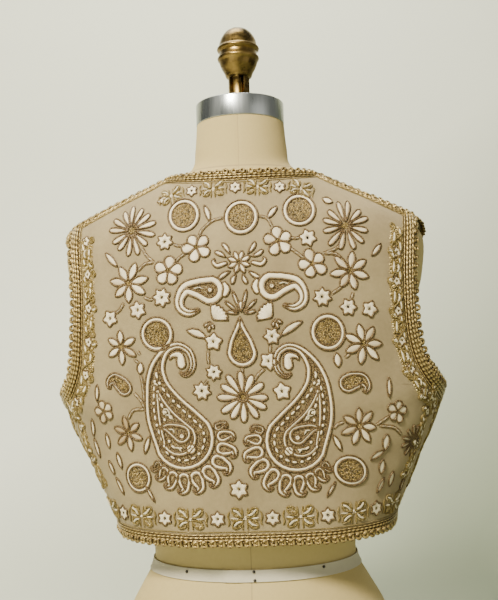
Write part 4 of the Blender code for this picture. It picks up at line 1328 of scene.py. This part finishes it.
# What is worked on the back, placed by the column and row where the photograph shows it
roundels = [
    {"seen": (183.7, 215.4), "radius": 16.5, "squash": 1.06, "turn": 12},
    {"seen": (241.0, 217.6), "radius": 17.2, "squash": 1.05, "turn": 0},
    {"seen": (299.0, 210.0), "radius": 17.0, "squash": 1.0, "turn": -10},
    {"seen": (157.0, 334.0), "radius": 17.0, "squash": 1.0, "turn": 0},
    {"seen": (327.5, 332.0), "radius": 17.4, "squash": 1.05, "turn": 0},
    {"seen": (139.0, 477.0), "radius": 14.8, "squash": 1.05, "turn": 0},
    {"seen": (350.0, 470.0), "radius": 18.5, "squash": 0.80, "turn": -22},
]
flowers = [
    {"seen": (132.3, 231.2), "radius": 26.5, "petals": 13, "shape": "narrow", "turn": 6, "tone": 0.16},
    {"seen": (345.0, 226.0), "radius": 26.5, "petals": 12, "shape": "narrow", "turn": 14, "tone": 0.30},
    {"seen": (243.0, 397.0), "radius": 26.5, "petals": 12, "shape": "long", "turn": 0, "tone": 0.06},
    {"seen": (196.4, 247.5), "radius": 14.6, "petals": 5, "shape": "round", "turn": 26, "tone": 0.02},
    {"seen": (278.0, 241.0), "radius": 15.0, "petals": 5, "shape": "round", "turn": 8, "tone": 0.10},
    {"seen": (168.5, 271.0), "radius": 15.4, "petals": 5, "shape": "round", "turn": -10, "tone": 0.04},
    {"seen": (312.0, 264.0), "radius": 15.0, "petals": 5, "shape": "round", "turn": 20, "tone": 0.14},
    {"seen": (129.2, 283.4), "radius": 21.5, "petals": 7, "shape": "pointed", "turn": 28, "tone": 0.08},
    {"seen": (349.5, 271.0), "radius": 21.0, "petals": 7, "shape": "pointed", "turn": -8, "tone": 0.24},
    {"seen": (122.0, 346.5), "radius": 18.5, "petals": 6, "shape": "pointed", "turn": 0, "tone": 0.16},
    {"seen": (363.0, 343.5), "radius": 21.0, "petals": 7, "shape": "pointed", "turn": 12, "tone": 0.10},
    {"seen": (128.5, 433.0), "radius": 17.5, "petals": 6, "shape": "pointed", "turn": 12, "tone": 0.52},
    {"seen": (359.0, 425.5), "radius": 19.5, "petals": 7, "shape": "pointed", "turn": 4, "tone": 0.22},
    {"seen": (105.0, 411.0), "radius": 12.0, "petals": 5, "shape": "round", "turn": 16, "tone": 0.42},
    {"seen": (397.0, 411.0), "radius": 12.0, "petals": 5, "shape": "round", "turn": -14, "tone": 0.20},
    {"seen": (412.0, 440.0), "radius": 17.5, "petals": 11, "shape": "narrow", "turn": 8, "tone": 0.34},
]
rosettes = [
    {"seen": (165.0, 242.0), "radius": 8.4, "lobes": 7}, {"seen": (307.5, 238.0), "radius": 8.6, "lobes": 6},
    {"seen": (162.0, 297.6), "radius": 9.2, "lobes": 7}, {"seen": (322.0, 297.0), "radius": 9.0, "lobes": 7},
    {"seen": (138.0, 310.0), "radius": 8.6, "lobes": 6}, {"seen": (348.0, 307.0), "radius": 8.4, "lobes": 6},
    {"seen": (111.0, 318.5), "radius": 8.2, "lobes": 5}, {"seen": (369.0, 309.0), "radius": 8.2, "lobes": 5},
    {"seen": (213.5, 341.5), "radius": 8.6, "lobes": 5}, {"seen": (272.0, 336.0), "radius": 8.2, "lobes": 6},
    {"seen": (214.0, 372.0), "radius": 7.8, "lobes": 7}, {"seen": (268.5, 361.0), "radius": 8.6, "lobes": 5},
    {"seen": (202.0, 390.8), "radius": 8.8, "lobes": 7}, {"seen": (282.0, 391.0), "radius": 8.6, "lobes": 5},
    {"seen": (239.0, 489.0), "radius": 9.2, "lobes": 6},
]
leaves = [
    {"base": (209.5, 221.5), "tip": (204.0, 205.5), "width": 5.0, "bend": 0.8},
    {"base": (267.5, 219.0), "tip": (277.0, 206.5), "width": 5.6, "bend": -0.6},
    {"base": (206.5, 337.5), "tip": (186.8, 330.2), "width": 7.6, "bend": 1.0},
    {"base": (280.5, 335.5), "tip": (302.3, 321.0), "width": 6.6, "bend": -1.2},
    {"base": (118.0, 267.0), "tip": (106.0, 253.0), "width": 6.0, "bend": 0.0},
    {"base": (371.0, 256.0), "tip": (380.0, 244.0), "width": 5.6, "bend": 0.0},
    {"base": (158.0, 203.5), "tip": (167.5, 199.5), "width": 7.0, "bend": 0.0},
    {"base": (322.0, 199.5), "tip": (332.0, 203.5), "width": 7.0, "bend": 0.0},
    {"base": (140.5, 374.0), "tip": (141.5, 362.0), "width": 7.0, "bend": 0.0},
    {"base": (338.0, 367.0), "tip": (336.0, 352.5), "width": 7.6, "bend": 0.0},
    {"base": (98.0, 401.0), "tip": (98.0, 384.5), "width": 4.6, "bend": 0.0},
    {"base": (388.5, 397.0), "tip": (388.0, 376.5), "width": 4.6, "bend": 0.0},
    {"base": (150.0, 436.0), "tip": (145.5, 453.5), "width": 5.0, "bend": 0.4},
    {"base": (332.5, 434.5), "tip": (341.0, 450.5), "width": 5.4, "bend": -0.4},
    {"base": (146.5, 485.0), "tip": (156.0, 501.5), "width": 3.2, "bend": 0.0},
    {"base": (335.0, 481.0), "tip": (326.5, 496.0), "width": 3.2, "bend": 0.0},
    {"base": (384.0, 449.5), "tip": (386.5, 433.5), "width": 8.4, "bend": 0.0},
    {"base": (383.5, 450.0), "tip": (369.5, 459.5), "width": 5.4, "bend": 0.6},
    {"base": (380.0, 473.5), "tip": (382.5, 459.0), "width": 7.6, "bend": 0.0},
    {"base": (388.5, 486.0), "tip": (392.5, 471.0), "width": 6.6, "bend": 0.0},
    {"base": (376.0, 492.5), "tip": (383.5, 477.5), "width": 4.6, "bend": 0.0},
    {"base": (398.0, 492.0), "tip": (403.5, 476.0), "width": 4.6, "bend": 0.0},
    {"base": (92.0, 419.0), "tip": (94.5, 436.0), "width": 5.4, "bend": 0.0},
    {"base": (95.0, 438.0), "tip": (102.5, 456.5), "width": 5.2, "bend": 0.0},
    {"base": (106.5, 433.0), "tip": (111.0, 448.0), "width": 5.0, "bend": 0.0},
    {"base": (118.0, 452.0), "tip": (123.0, 468.0), "width": 5.2, "bend": 0.0},
    {"base": (110.5, 460.0), "tip": (116.0, 474.0), "width": 4.8, "bend": 0.0},
    {"base": (117.0, 477.0), "tip": (125.0, 494.0), "width": 4.6, "bend": 0.0},
]
stems = [
    {"seen": [(223.5, 218.5), (213.0, 221.0), (203.0, 229.0), (199.0, 236.0)]},
    {"seen": [(259.0, 216.5), (267.0, 219.0), (272.0, 227.0)]},
    {"seen": [(187.0, 246.5), (178.0, 246.0), (173.5, 244.5)]},
    {"seen": [(186.0, 253.5), (179.5, 258.0), (176.5, 262.0)]},
    {"seen": [(288.5, 247.5), (296.0, 252.5), (302.5, 257.5)]},
    {"seen": [(287.0, 237.0), (293.5, 238.5), (299.0, 238.0)]},
    {"seen": [(142.0, 247.5), (147.5, 256.5), (154.5, 262.5)]},
    {"seen": [(138.0, 271.5), (145.0, 264.5), (154.0, 262.5)]},
    {"seen": [(341.0, 243.5), (334.0, 249.5), (323.0, 253.5)]},
    {"seen": [(343.0, 261.0), (336.0, 254.5), (323.5, 253.5)]},
    {"seen": [(143.5, 296.5), (149.0, 299.5), (153.5, 299.5)]},
    {"seen": [(124.5, 303.0), (120.0, 310.5), (115.5, 313.5)]},
    {"seen": [(342.5, 286.0), (335.5, 291.0), (330.5, 294.0)]},
    {"seen": [(353.0, 292.0), (350.5, 299.0)]},
    {"seen": [(208.3, 350.0), (208.3, 357.5), (208.8, 364.5)]},
    {"seen": [(208.0, 380.0), (205.5, 383.5)]},
    {"seen": [(270.5, 344.5), (269.8, 353.0)]},
    {"seen": [(265.0, 368.5), (258.5, 374.0), (254.0, 381.0)]},
    {"seen": [(242.3, 366.5), (242.5, 374.0)]},
    {"seen": [(134.5, 358.0), (139.0, 363.0)]},
    {"seen": [(141.5, 374.5), (143.5, 387.0), (145.0, 402.0)]},
    {"seen": [(134.5, 392.5), (141.0, 400.0), (145.0, 408.0)]},
    {"seen": [(128.5, 419.0), (134.0, 410.0), (144.5, 409.0)]},
    {"seen": [(376.0, 424.5), (383.5, 419.5), (388.5, 416.0)]},
    {"seen": [(333.0, 428.5), (338.0, 423.5), (344.0, 422.0)]},
    {"seen": [(379.0, 425.5), (393.0, 427.0), (400.5, 434.0)]},
    {"seen": [(138.0, 350.5), (141.0, 355.0)]},
    {"seen": [(350.0, 353.5), (344.5, 357.5)]},
]
largeMotifs = {
    "leftPaisley": (183.3, 438.4), "rightPaisley": (296.5, 440.0),
    "leftLyingPaisley": (209.6, 290.2), "rightLyingPaisley": (272.1, 286.0),
    "teardrop": (241.9, 351.9), "leftKidney": (120.5, 385.5), "rightKidney": (353.0, 383.5),
    "palmette": (241.2, 314.0), "leftCarnation": (211.5, 320.5), "rightCarnation": (273.5, 318.0),
    "centreSpray": (239.0, 262.0),
}


def embroiderBack():
    for row in roundels:
        addRoundel(seenAt(*row["seen"]), row["radius"], row["squash"], row["turn"])
    for row in flowers:
        addFlower(
            seenAt(*row["seen"]), row["radius"], row["petals"], row["shape"], row["turn"], row["tone"])
    for index, row in enumerate(rosettes):
        addRosette(seenAt(*row["seen"]), row["radius"], row["lobes"], index * 17.0)
    for row in leaves:
        addLeaf(seenAt(*row["base"]), seenAt(*row["tip"]), row["width"], 0.12, row["bend"])
    for row in stems:
        addStem([seenAt(*spot) for spot in row["seen"]])
    spots = {name: seenAt(*seen) for name, seen in largeMotifs.items()}
    addPaisley(spots["leftPaisley"])
    addPaisley(spots["rightPaisley"], mirror=True)
    addLyingPaisley(spots["leftLyingPaisley"])
    addLyingPaisley(spots["rightLyingPaisley"], mirror=True)
    addFilledDrop(spots["teardrop"], teardropSpine, 3.4)
    addFilledDrop(spots["leftKidney"], kidneySpine, 2.4, 20, 0.86, mirror=True, tone=0.2)
    addFilledDrop(spots["rightKidney"], kidneySpine, 2.4, -8, 0.95, tone=0.16)
    addPalmette(spots["palmette"])
    addCarnation(spots["leftCarnation"], -45)
    addCarnation(spots["rightCarnation"], -50, mirror=True)
    addCentreSpray(spots["centreSpray"])


# The centre spray's leaves: foot, turn and length; and its curling end
spray = {
    "leaves": [((9, 8), -34, 14), ((13, 5), -62, 13), ((9, -9), -122, 14), ((3.5, -12), -158, 11)],
    "curl": [(24.0, 4.0, 0.5), (26.0, 1.0, 1.4), (22.0, -3.0, 2.0), (15.5, -1.5, 1.8), (13.0, -1.0, 1.2)],
}


# A plain spray: an open flower between two curling sprigs.
def addCentreSpray(at):
    addFlower(at, 12.5, 8, "pointed", 22.5, 0.02)
    for flip in (False, True):
        put = placer(at, 0, 1.0, flip)
        for foot, angle, length in spray["leaves"]:
            sprig = placer(put(np.array(foot, float)), -angle if flip else angle)
            left, right = petalSides(length, 0.0, 2.1, 0.6, 0.6, 0.8)
            addPetal(sprig, left, right, 0.04)
        fillSpine(put, spray["curl"], 0.04)


# Borders
# A run along a panel's edge, from its shares to flat metres.
def flatEdge(panel, corners, side=1.0):
    u, v = np.array(corners, float).T
    t = np.linspace(0, len(u) - 1, 120 * (len(u) - 1) + 1)
    angle, z = panel(np.interp(t, range(len(u)), u), np.interp(t, range(len(v)), v))
    return np.stack([side * arcAt(angle, z), z], axis=1)


def insetPath(path, distance):
    return path - clothSides(path) * distance


def addGoldLeaf(at, turn, length, width, cream=0.6):
    put = placer(at, turn)
    left, right = petalSides(length, 0.6, width / 2, 0.60, 0.6)
    loop = np.vstack([left, right[::-1]])
    addKnots("goldSilk", put(loop * (0.8, 0.9) + (0, 0.6)), 0.0022, 0.0010, 0.25)
    addCord("goldSilk", put(loop), 0.0010, 0.0001, 0.12, True, twistShading=0.2)
    if chance.uniform() < cream:
        stroke = [(-width * 0.10, length * 0.15), (width * 0.12, length * 0.5), (-width * 0.05, length * 0.88)]
        addCord("silk", put(smoothCurve(stroke, 4)), 0.0011, 0.0008, 0.0)


# A place beside a path (right is plus) and the way that the path runs there.
def borderSpot(path, run, where, across=0.0):
    near = int(np.clip(np.searchsorted(run, where), 2, len(path) - 3))
    ahead = path[near + 2] - path[near - 2]
    ahead = ahead / np.linalg.norm(ahead)
    spot = np.array([np.interp(where, run, path[:, 0]), np.interp(where, run, path[:, 1])])
    return spot + np.array([ahead[1], -ahead[0]]) * across, math.degrees(math.atan2(ahead[1], ahead[0]))


# Gold four-leaf crosses and cream blossoms in turn along a path.
def addBlossomBorder(path, offset, pitch=0.0550, size=1.0):
    path = evenPath(path, 0.002)
    run = runLength(path)
    for index in range(-1, int(run[-1] / pitch) + 2):
        where = offset % pitch + index * pitch
        if 0.007 < where < run[-1] - 0.007:
            spot, slope = borderSpot(path, run, where)
            addRosette(spot, 7.4 * size, 6, slope, 0.02)
        where += pitch / 2
        if 0.012 < where < run[-1] - 0.012:
            spot, slope = borderSpot(path, run, where)
            put = placer(spot, slope, size)
            for angle, long in ((-50, 14.5), (50, 14.5), (-124, 13.5), (124, 13.5)):
                foot = put(np.array([1.6 if angle < 0 else -1.6, 1.0 if abs(angle) < 90 else -1.0]))
                addGoldLeaf(foot, slope + angle, long * size, 7.4 * size, 0.85)
            for sign in (-1, 1):
                addCord("goldSilk", put([(sign * 2.2, 2.0), (sign * 3.0, 11.0)]), 0.0009, 0.0, 0.1)
                addCord("goldSilk", put([(sign * 2.4, -3.0), (sign * 2.6, -12.0)]), 0.0009, 0.0, 0.1)
                addCord("silk", put([(sign * 6.5, 0.0), (sign * 14.0, 0.6)]), 0.0010, 0.0003, 0.05)
                addCord("goldSilk", put([(sign * 6.0, -1.6), (sign * 14.5, -1.2)]), 0.0009, 0.0, 0.1)
                link = [(sign * 15.5, 7.5), (sign * 17.3, 2.5), (sign * 15.8, -3.0), (sign * 17.5, -8.0)]
                addCord("goldSilk", put(smoothCurve(link, 4)), 0.0010, 0.0, 0.1)
            addKnots("silk", put(circlePath(2.0)), 0.0016, 0.0010, 0.0, 0.0004)


# One repeat of the armhole border in millimetres: outward, along, turn, length and width
vineUnit = {
    "pitch": 0.033, "wave": 0.0056, "groundHalf": 0.0066,
    "cream": [(3.8, 3.0, 8, 12.5, 4.2), (-4.0, 11.0, -6, 14.0, 4.2), (3.4, 20.5, 14, 8.5, 3.6)],
    "gold": [
        (-3.0, 1.0, 62, 7.5, 4.6), (-3.4, 5.5, 108, 7.0, 4.2),
        (0.6, 10.0, -10, 12.0, 6.2), (-2.0, 26.0, 40, 8.0, 4.4),
    ],
}


# A dense gold border: a waving vine, gold leaves, cream strokes and small blossoms.
def addVineBorder(path, size=1.0):
    path = evenPath(path, 0.0015)
    run = runLength(path)
    side = clothSides(path)
    half = vineUnit["groundHalf"] * size
    addKnots("goldSilk", np.vstack([path + side * half, (path - side * half)[::-1]]), 0.0026, 0.0013, 0.15)
    vine = path + side * (size * vineUnit["wave"] * np.sin(run / vineUnit["pitch"] * 2 * math.pi))[:, None]
    addCord("goldSilk", vine, 0.0011, 0.0004, 0.12, twistShading=0.2)
    count = int(run[-1] / vineUnit["pitch"] + 0.6)
    for index in range(count):
        start = index * run[-1] / count
        spot, slope = borderSpot(path, run, start + 0.003, 0.0006)
        addRosette(spot, 4.6 * size, 5, slope, 0.0)
        for outward, along, turn, length, width in vineUnit["cream"]:
            spot, slope = borderSpot(path, run, start + along * 0.001, outward * size * 0.001)
            put = placer(spot, slope - 90 + turn)
            left, right = petalSides(length, 0.0, width / 2, 0.5, 0.6, 1.0)
            addSatin("silk", put(left), put(right), 0.0018, chance.uniform(0.0, 0.15), across=3)
            addCord("goldSilk", put(np.vstack([left, right[::-1]])), 0.0009, 0.0004, 0.1, True)
        for outward, along, turn, length, width in vineUnit["gold"]:
            spot, slope = borderSpot(path, run, start + along * 0.001, outward * size * 0.001)
            addGoldLeaf(spot, slope - 90 + turn, length, width * size, 0.35)


def edgeLine(path, distance, tone=0.2):
    addCord("goldSilk", insetPath(path, distance), 0.0005, 0.0, tone)


# The looped braid: its lines as distance in from the edge and radius
braidCut = {
    "lines": [(0.0020, 0.00125), (0.0050, 0.00125), (0.0080, 0.00105)],
    "thin": (0.0106, 0.0006), "baseStart": 0.0006, "baseEnd": 0.0112,
    "pitch": 0.0086, "loopRadius": 0.0028, "loopThread": 0.0016, "flatLoopOut": -0.0018, "armWide": 1.3,
}


# A braid laid along an edge whose outside is on the path's right.
def addBraid(path, loops=True, loopOut=0.0025, wide=1.0, lift=0.0003):
    path = evenPath(path, 0.0024)
    ahead, side = pathSides(path)[0], clothSides(path)
    start, end = braidCut["baseStart"], braidCut["baseEnd"] * wide
    # A dark backing strip under the braid's cords, so that the gaps between them read dark: painted shade.
    addSatin("cord", path - side * start, path - side * end, 0.0005, 0.0, across=2, lift=lift)
    for distance, radius in braidCut["lines"]:
        line = path - side * distance * wide
        addCord("braid", line, radius * wide, lift + 0.0002, 0.35, spacing=0.0017, sides=6, twistShading=0.6)
    distance, radius = braidCut["thin"]
    addCord("braid", path - side * distance * wide, radius, lift + 0.0002, 0.5, twistShading=0.4)
    if not loops:
        return
    # A dark cord along the very edge, between the braid and its loops: a painted shadow line.
    addCord("cord", path + side * 0.0003, 0.0011, lift, 0.0, spacing=0.004)
    run = runLength(path)
    count = int(run[-1] // braidCut["pitch"])
    for index in range(count):
        where = (index + 0.5) * run[-1] / count
        spot = np.array([np.interp(where, run, path[:, 0]), np.interp(where, run, path[:, 1])])
        near = min(int(np.searchsorted(run, where)), len(path) - 1)
        centre = spot + side[near] * (loopOut + chance.uniform(-0.0004, 0.0004))
        turn = np.linspace(0, 2 * math.pi, 14, endpoint=False)[:, None]
        ring = ahead[near] * 0.92 * np.cos(turn) + side[near] * np.sin(turn)
        rise = np.sin(turn) * braidCut["loopRadius"] * chance.uniform(-0.25, 0.30)
        loop = np.hstack([centre + ring * braidCut["loopRadius"], rise])
        height = lift + (0.0003 if loopOut > 0 else 0.0012)
        addCord("braid", loop, braidCut["loopThread"], height, chance.uniform(0.1, 0.5), True, 0.0016, 6, 0.5)


# All the thread of one kind on a panel, worn on the body, as one piece.
def joinStitches(name, kind, material, nodes=()):
    parts = stitches[kind]
    if not parts:
        return None
    flat = np.vstack([part[0] for part in parts])
    starts = np.concatenate([[0], np.cumsum([len(part[0]) for part in parts])[:-1]])
    quads = np.vstack([part[1] + start for part, start in zip(parts, starts)])
    points = wornPoint(flat[:, 0], flat[:, 1], flat[:, 2])
    mesh = bpy.data.meshes.new(name)
    mesh.from_pydata(points.tolist(), [], quads.tolist())
    layer = mesh.uv_layers.new(name="UVMap")
    layer.data.foreach_set("uv", np.vstack([part[2] for part in parts]).astype(np.float32).ravel())
    tones = mesh.attributes.new("tone", "FLOAT", "POINT")
    tones.data.foreach_set("value", np.concatenate([part[3] for part in parts]).astype(np.float32))
    mesh.shade_smooth()
    mesh.materials.append(material)
    item = bpy.data.objects.new(name, mesh)
    bpy.context.scene.collection.objects.link(item)
    if nodes:
        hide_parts(*nodes)
    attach(item, "root")
    return item


def joinPanel(name, braidNodes):
    made = []
    for kind, (material, slotName) in threadUses.items():
        title = name + kind[0].upper() + kind[1:]
        nodes = braidNodes if kind == "braid" else ()
        made.append(joinStitches(title, kind, materials[material], nodes))
    clearStitches()
    return [item for item in made if item]


underarmShare = (cut["underarm"] - cut["hemSide"]) / (cut["shoulderTip"][1] - cut["hemSide"])


# The back's borders: how far in from the edge, in metres, and where the blossoms start
backBorders = {
    "line": 0.0132, "armLine": 0.0160, "hem": 0.0265, "hemStart": 0.021,
    "arm": 0.0245, "armSize": 1.2, "sides": (0.0195, 0.0560),
    "neckRoute": [(-0.088, 0.589), (-0.060, 0.598), (0.0, 0.600), (0.060, 0.598), (0.088, 0.589)],
    "neckStart": -0.003, "neckPitch": 0.0460, "neckSize": 0.82,
}


def finishBackEdges():
    hem = flatEdge(backPanel, [(-1, 0), (1, 0)])
    rightSide = flatEdge(backPanel, [(1, 0), (1, underarmShare)])
    rightArm = flatEdge(backPanel, [(1, underarmShare), (1, 1)])
    top = flatEdge(backPanel, [(1, 1), (-1, 1)])
    leftArm = flatEdge(backPanel, [(-1, 1), (-1, underarmShare)])
    leftSide = flatEdge(backPanel, [(-1, underarmShare), (-1, 0)])
    for path in (hem, top):
        addBraid(path, True, braidCut["flatLoopOut"])
    for path in (rightSide, leftSide):
        addBraid(path)
    for path in (rightArm, leftArm):
        addBraid(path, True, wide=braidCut["armWide"])
        edgeLine(path, backBorders["armLine"])
    for path in (hem, top):
        edgeLine(path, backBorders["line"])
    hemBorder = insetPath(hem[6:-6], backBorders["hem"])
    centreRun = np.interp(0.0, hemBorder[:, 0], runLength(hemBorder))
    addBlossomBorder(hemBorder, centreRun + backBorders["hemStart"])
    for arm, rows in ((rightArm, slice(4, -12)), (leftArm, slice(12, -4))):
        addVineBorder(insetPath(arm, backBorders["arm"])[rows], backBorders["armSize"])
    for inset in backBorders["sides"]:
        addVineBorder(insetPath(rightSide, inset)[24:-4])
        addVineBorder(insetPath(leftSide, inset)[4:-24])
    neck = evenPath(backBorders["neckRoute"], 0.002)
    centreRun = np.interp(0.0, neck[:, 0], runLength(neck))
    neckStart = centreRun + backBorders["neckStart"]
    addBlossomBorder(neck, neckStart, backBorders["neckPitch"], backBorders["neckSize"])


clearStitches()
embroiderBack()
finishBackEdges()
backWork = joinPanel("back", ["braid_back"])
print("stage: back embroidered and braided")


# A place on a front, as a share of the way from its side seam to its front edge.
def frontSpot(side, share, z):
    height = np.array(float(z))
    start = float(arcAt(np.array(math.pi / 2), height))
    end = float(arcAt(np.radians(columnAt(frontOpening, "angle", height)), height))
    return side * (start + (end - start) * share), z


frontFlowers = [
    {"share": 0.30, "height": 0.520, "radius": 13.0, "petals": 5, "shape": "round"},
    {"share": 0.52, "height": 0.455, "radius": 18.0, "petals": 7, "shape": "pointed"},
    {"share": 0.16, "height": 0.335, "radius": 17.0, "petals": 6, "shape": "pointed"},
    {"share": 0.80, "height": 0.350, "radius": 15.0, "petals": 6, "shape": "pointed"},
    {"share": 0.55, "height": 0.545, "radius": 11.0, "petals": 5, "shape": "round"},
]
frontRosettes = [
    (0.70, 0.500), (0.36, 0.425), (0.84, 0.395), (0.12, 0.300), (0.76, 0.435), (0.45, 0.500), (0.30, 0.567),
]


def embroiderFront(side):
    mirror = side < 0
    for row in frontFlowers:
        spot = frontSpot(side, row["share"], row["height"])
        addFlower(spot, row["radius"], row["petals"], row["shape"], 12, 0.1, mirror)
    for share, height in frontRosettes:
        addRosette(frontSpot(side, share, height), 8.0, 6, mirror=mirror)
    addRoundel(frontSpot(side, 0.24, 0.382), 14.5, mirror=mirror)
    addRoundel(frontSpot(side, 0.66, 0.400), 13.5, mirror=mirror)
    addPaisley(frontSpot(side, 0.52, 0.322), 0.0, 0.78, mirror)
    finishFrontEdges(side)


# Braid and borders along a front's free edges, with plain braid along its seams.
def finishFrontEdges(side):
    runs = {
        "hem": ([(0, 0), (1, 0)], True), "opening": ([(1, 0), (1, 1)], True),
        "seam": ([(1, 1), (0, 1)], False), "armhole": ([(0, 1), (0, underarmShare)], True),
        "side": ([(0, underarmShare), (0, 0)], False),
    }
    paths = {}
    for name, (corners, loops) in runs.items():
        path = flatEdge(frontPanel, corners, side)
        if side < 0:
            path = path[::-1]
        paths[name] = path
        addBraid(path, loops)
        if loops:
            edgeLine(path, 0.0132)

    def borderRun(name, inset, first, last):
        rows = slice(first, -last) if side > 0 else slice(last, -first)
        return insetPath(paths[name], inset)[rows]

    addBlossomBorder(borderRun("hem", 0.0265, 10, 22), 0.020)
    addVineBorder(borderRun("opening", 0.0210, 12, 20))
    addVineBorder(borderRun("armhole", 0.0195, 14, 8))


embroiderFront(1.0)
rightWork = joinPanel("rightFront", ["braid_opening_right", "braid_armhole_right"])
embroiderFront(-1.0)
leftWork = joinPanel("leftFront", ["braid_opening_left", "braid_armhole_left"])
print("stage: fronts embroidered and braided")

# The cut of each panel, flat, before it was worn
panelCuts = [
    {"piece": backCloth, "flat": (0.560, 0.410), "with": backWork},
    {"piece": frontRightCloth, "flat": (0.260, 0.390), "with": rightWork},
    {"piece": frontLeftCloth, "flat": (0.260, 0.390), "with": leftWork},
]
for row in panelCuts:
    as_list(row["with"])


# Studio: a pale floor that curves up into a backdrop, soft lights and the camera
# A sheet from in front of the form, curving up behind it.
def makeFloor():
    start, radius = studio["sweepStart"], studio["sweepRadius"]
    sweep = radius * math.pi / 2
    front = studio["floorHalf"]
    total = front + start + sweep + (studio["wallTop"] - radius)

    def place(a, b):
        run = b * total - front
        turn = np.clip((run - start) / radius, 0, math.pi / 2)
        rest = np.maximum(run - start - sweep, 0)
        y = np.minimum(run, start) + radius * np.sin(turn)
        z = radius * (1 - np.cos(turn)) + rest
        return np.stack([(a - 0.5) * 2 * front, y, z], axis=1), np.stack([a, b], axis=1)
    item = gridPiece("studioFloor", 12, 90, place)
    item.data.shade_smooth()
    material, tree, shader = newMaterial("paleFloor", 0.9, 0.0, 0.0)
    patches = useGroup(tree, "patches", Scale=1.2, Contrast=0.5)
    pale = mixColour(tree, patches.outputs["Mask"], (0.73, 0.74, 0.60), (0.77, 0.78, 0.64))
    # Painted shade: the floor and backdrop are mixed to a dark olive towards the right and downwards.
    coordinates = tree.nodes.new("ShaderNodeTexCoord")
    split = tree.nodes.new("ShaderNodeSeparateXYZ")
    tree.links.new(coordinates.outputs["Object"], split.inputs[0])
    rightward = mathNode(tree, "MULTIPLY", split.outputs["X"], studio["shadeRight"])
    downward = mathNode(tree, "MULTIPLY", split.outputs["Z"], studio["shadeDown"])
    fall = mathNode(tree, "ADD", rightward, downward)
    shade = tree.nodes.new("ShaderNodeClamp")
    tree.links.new(mathNode(tree, "ADD", fall, studio["shadeStart"]), shade.inputs["Value"])
    tree.links.new(mixColour(tree, shade.outputs[0], pale, (0.25, 0.28, 0.19)), shader.inputs["Base Color"])
    item.data.materials.append(material)


lights = {
    "keyLight": {
        "from": (-0.75, -1.8, 2.05), "to": (0, 0, 0.45), "size": 0.5, "power": 154.0,
        "colour": (1.0, 0.955, 0.83),
    },
    "fillLight": {
        "from": (1.9, -1.5, 0.8), "to": (0, 0, 0.4), "size": 1.6, "power": 7.0, "colour": (1.0, 0.98, 0.92),
    },
    "topLight": {
        "from": (-0.2, 0.5, 2.1), "to": (0, 0, 0.5), "size": 1.2, "power": 17.0, "colour": (1.0, 0.99, 0.94),
    },
    "wallLight": {
        "from": (-0.3, 0.35, 2.3), "to": (-0.2, 1.65, 1.1), "size": 1.0, "power": 36.0,
        "colour": (1.0, 1.0, 0.92),
    },
}


def makeLights():
    for name, row in lights.items():
        light = bpy.data.lights.new(name, "AREA")
        light.shape = "SQUARE"
        light.size = row["size"]
        light.energy = row["power"]
        light.color = row["colour"]
        lamp = bpy.data.objects.new(name, light)
        bpy.context.scene.collection.objects.link(lamp)
        lamp.location = row["from"]
        aim = Vector(row["to"]) - Vector(row["from"])
        lamp.rotation_euler = aim.to_track_quat("-Z", "Y").to_euler()
    world = bpy.data.worlds.new("softRoom")
    world.use_nodes = True
    sky = world.node_tree.nodes["Background"]
    sky.inputs["Color"].default_value = (0.95, 0.95, 0.86, 1.0)
    sky.inputs["Strength"].default_value = 0.26
    bpy.context.scene.world = world


def makeCamera():
    data = bpy.data.cameras.new("photoCamera")
    data.sensor_fit = "VERTICAL"
    data.sensor_height = studio["sensor"]
    data.lens = studio["focalPixels"] / studio["imageHeight"] * studio["sensor"]
    camera = bpy.data.objects.new("photoCamera", data)
    bpy.context.scene.collection.objects.link(camera)
    yaw, roll = math.radians(studio["yaw"]), math.radians(studio["roll"])
    away = Vector((math.sin(yaw), -math.cos(yaw), 0.0))
    camera.location = away * studio["cameraDistance"] + Vector((0, 0, studio["cameraHeight"]))
    turn = (-away).to_track_quat("-Z", "Y").to_matrix()
    lean = turn @ Vector((0, 0, 1))
    spin = turn.to_4x4()
    camera.rotation_euler = (Matrix.Rotation(-roll, 4, lean) @ spin).to_euler()
    # Only as much shift as puts the form's axis and the horizon where the photograph has them
    dx = studio["axisColumn"] - studio["imageWidth"] / 2
    dz = studio["imageHeight"] / 2 - studio["horizonRow"]
    data.shift_x = -dx / studio["imageHeight"]
    data.shift_y = -dz / studio["imageHeight"]
    data.clip_start = 0.05
    bpy.context.scene.camera = camera


makeFloor()
makeLights()
makeCamera()
print("stage: studio set")
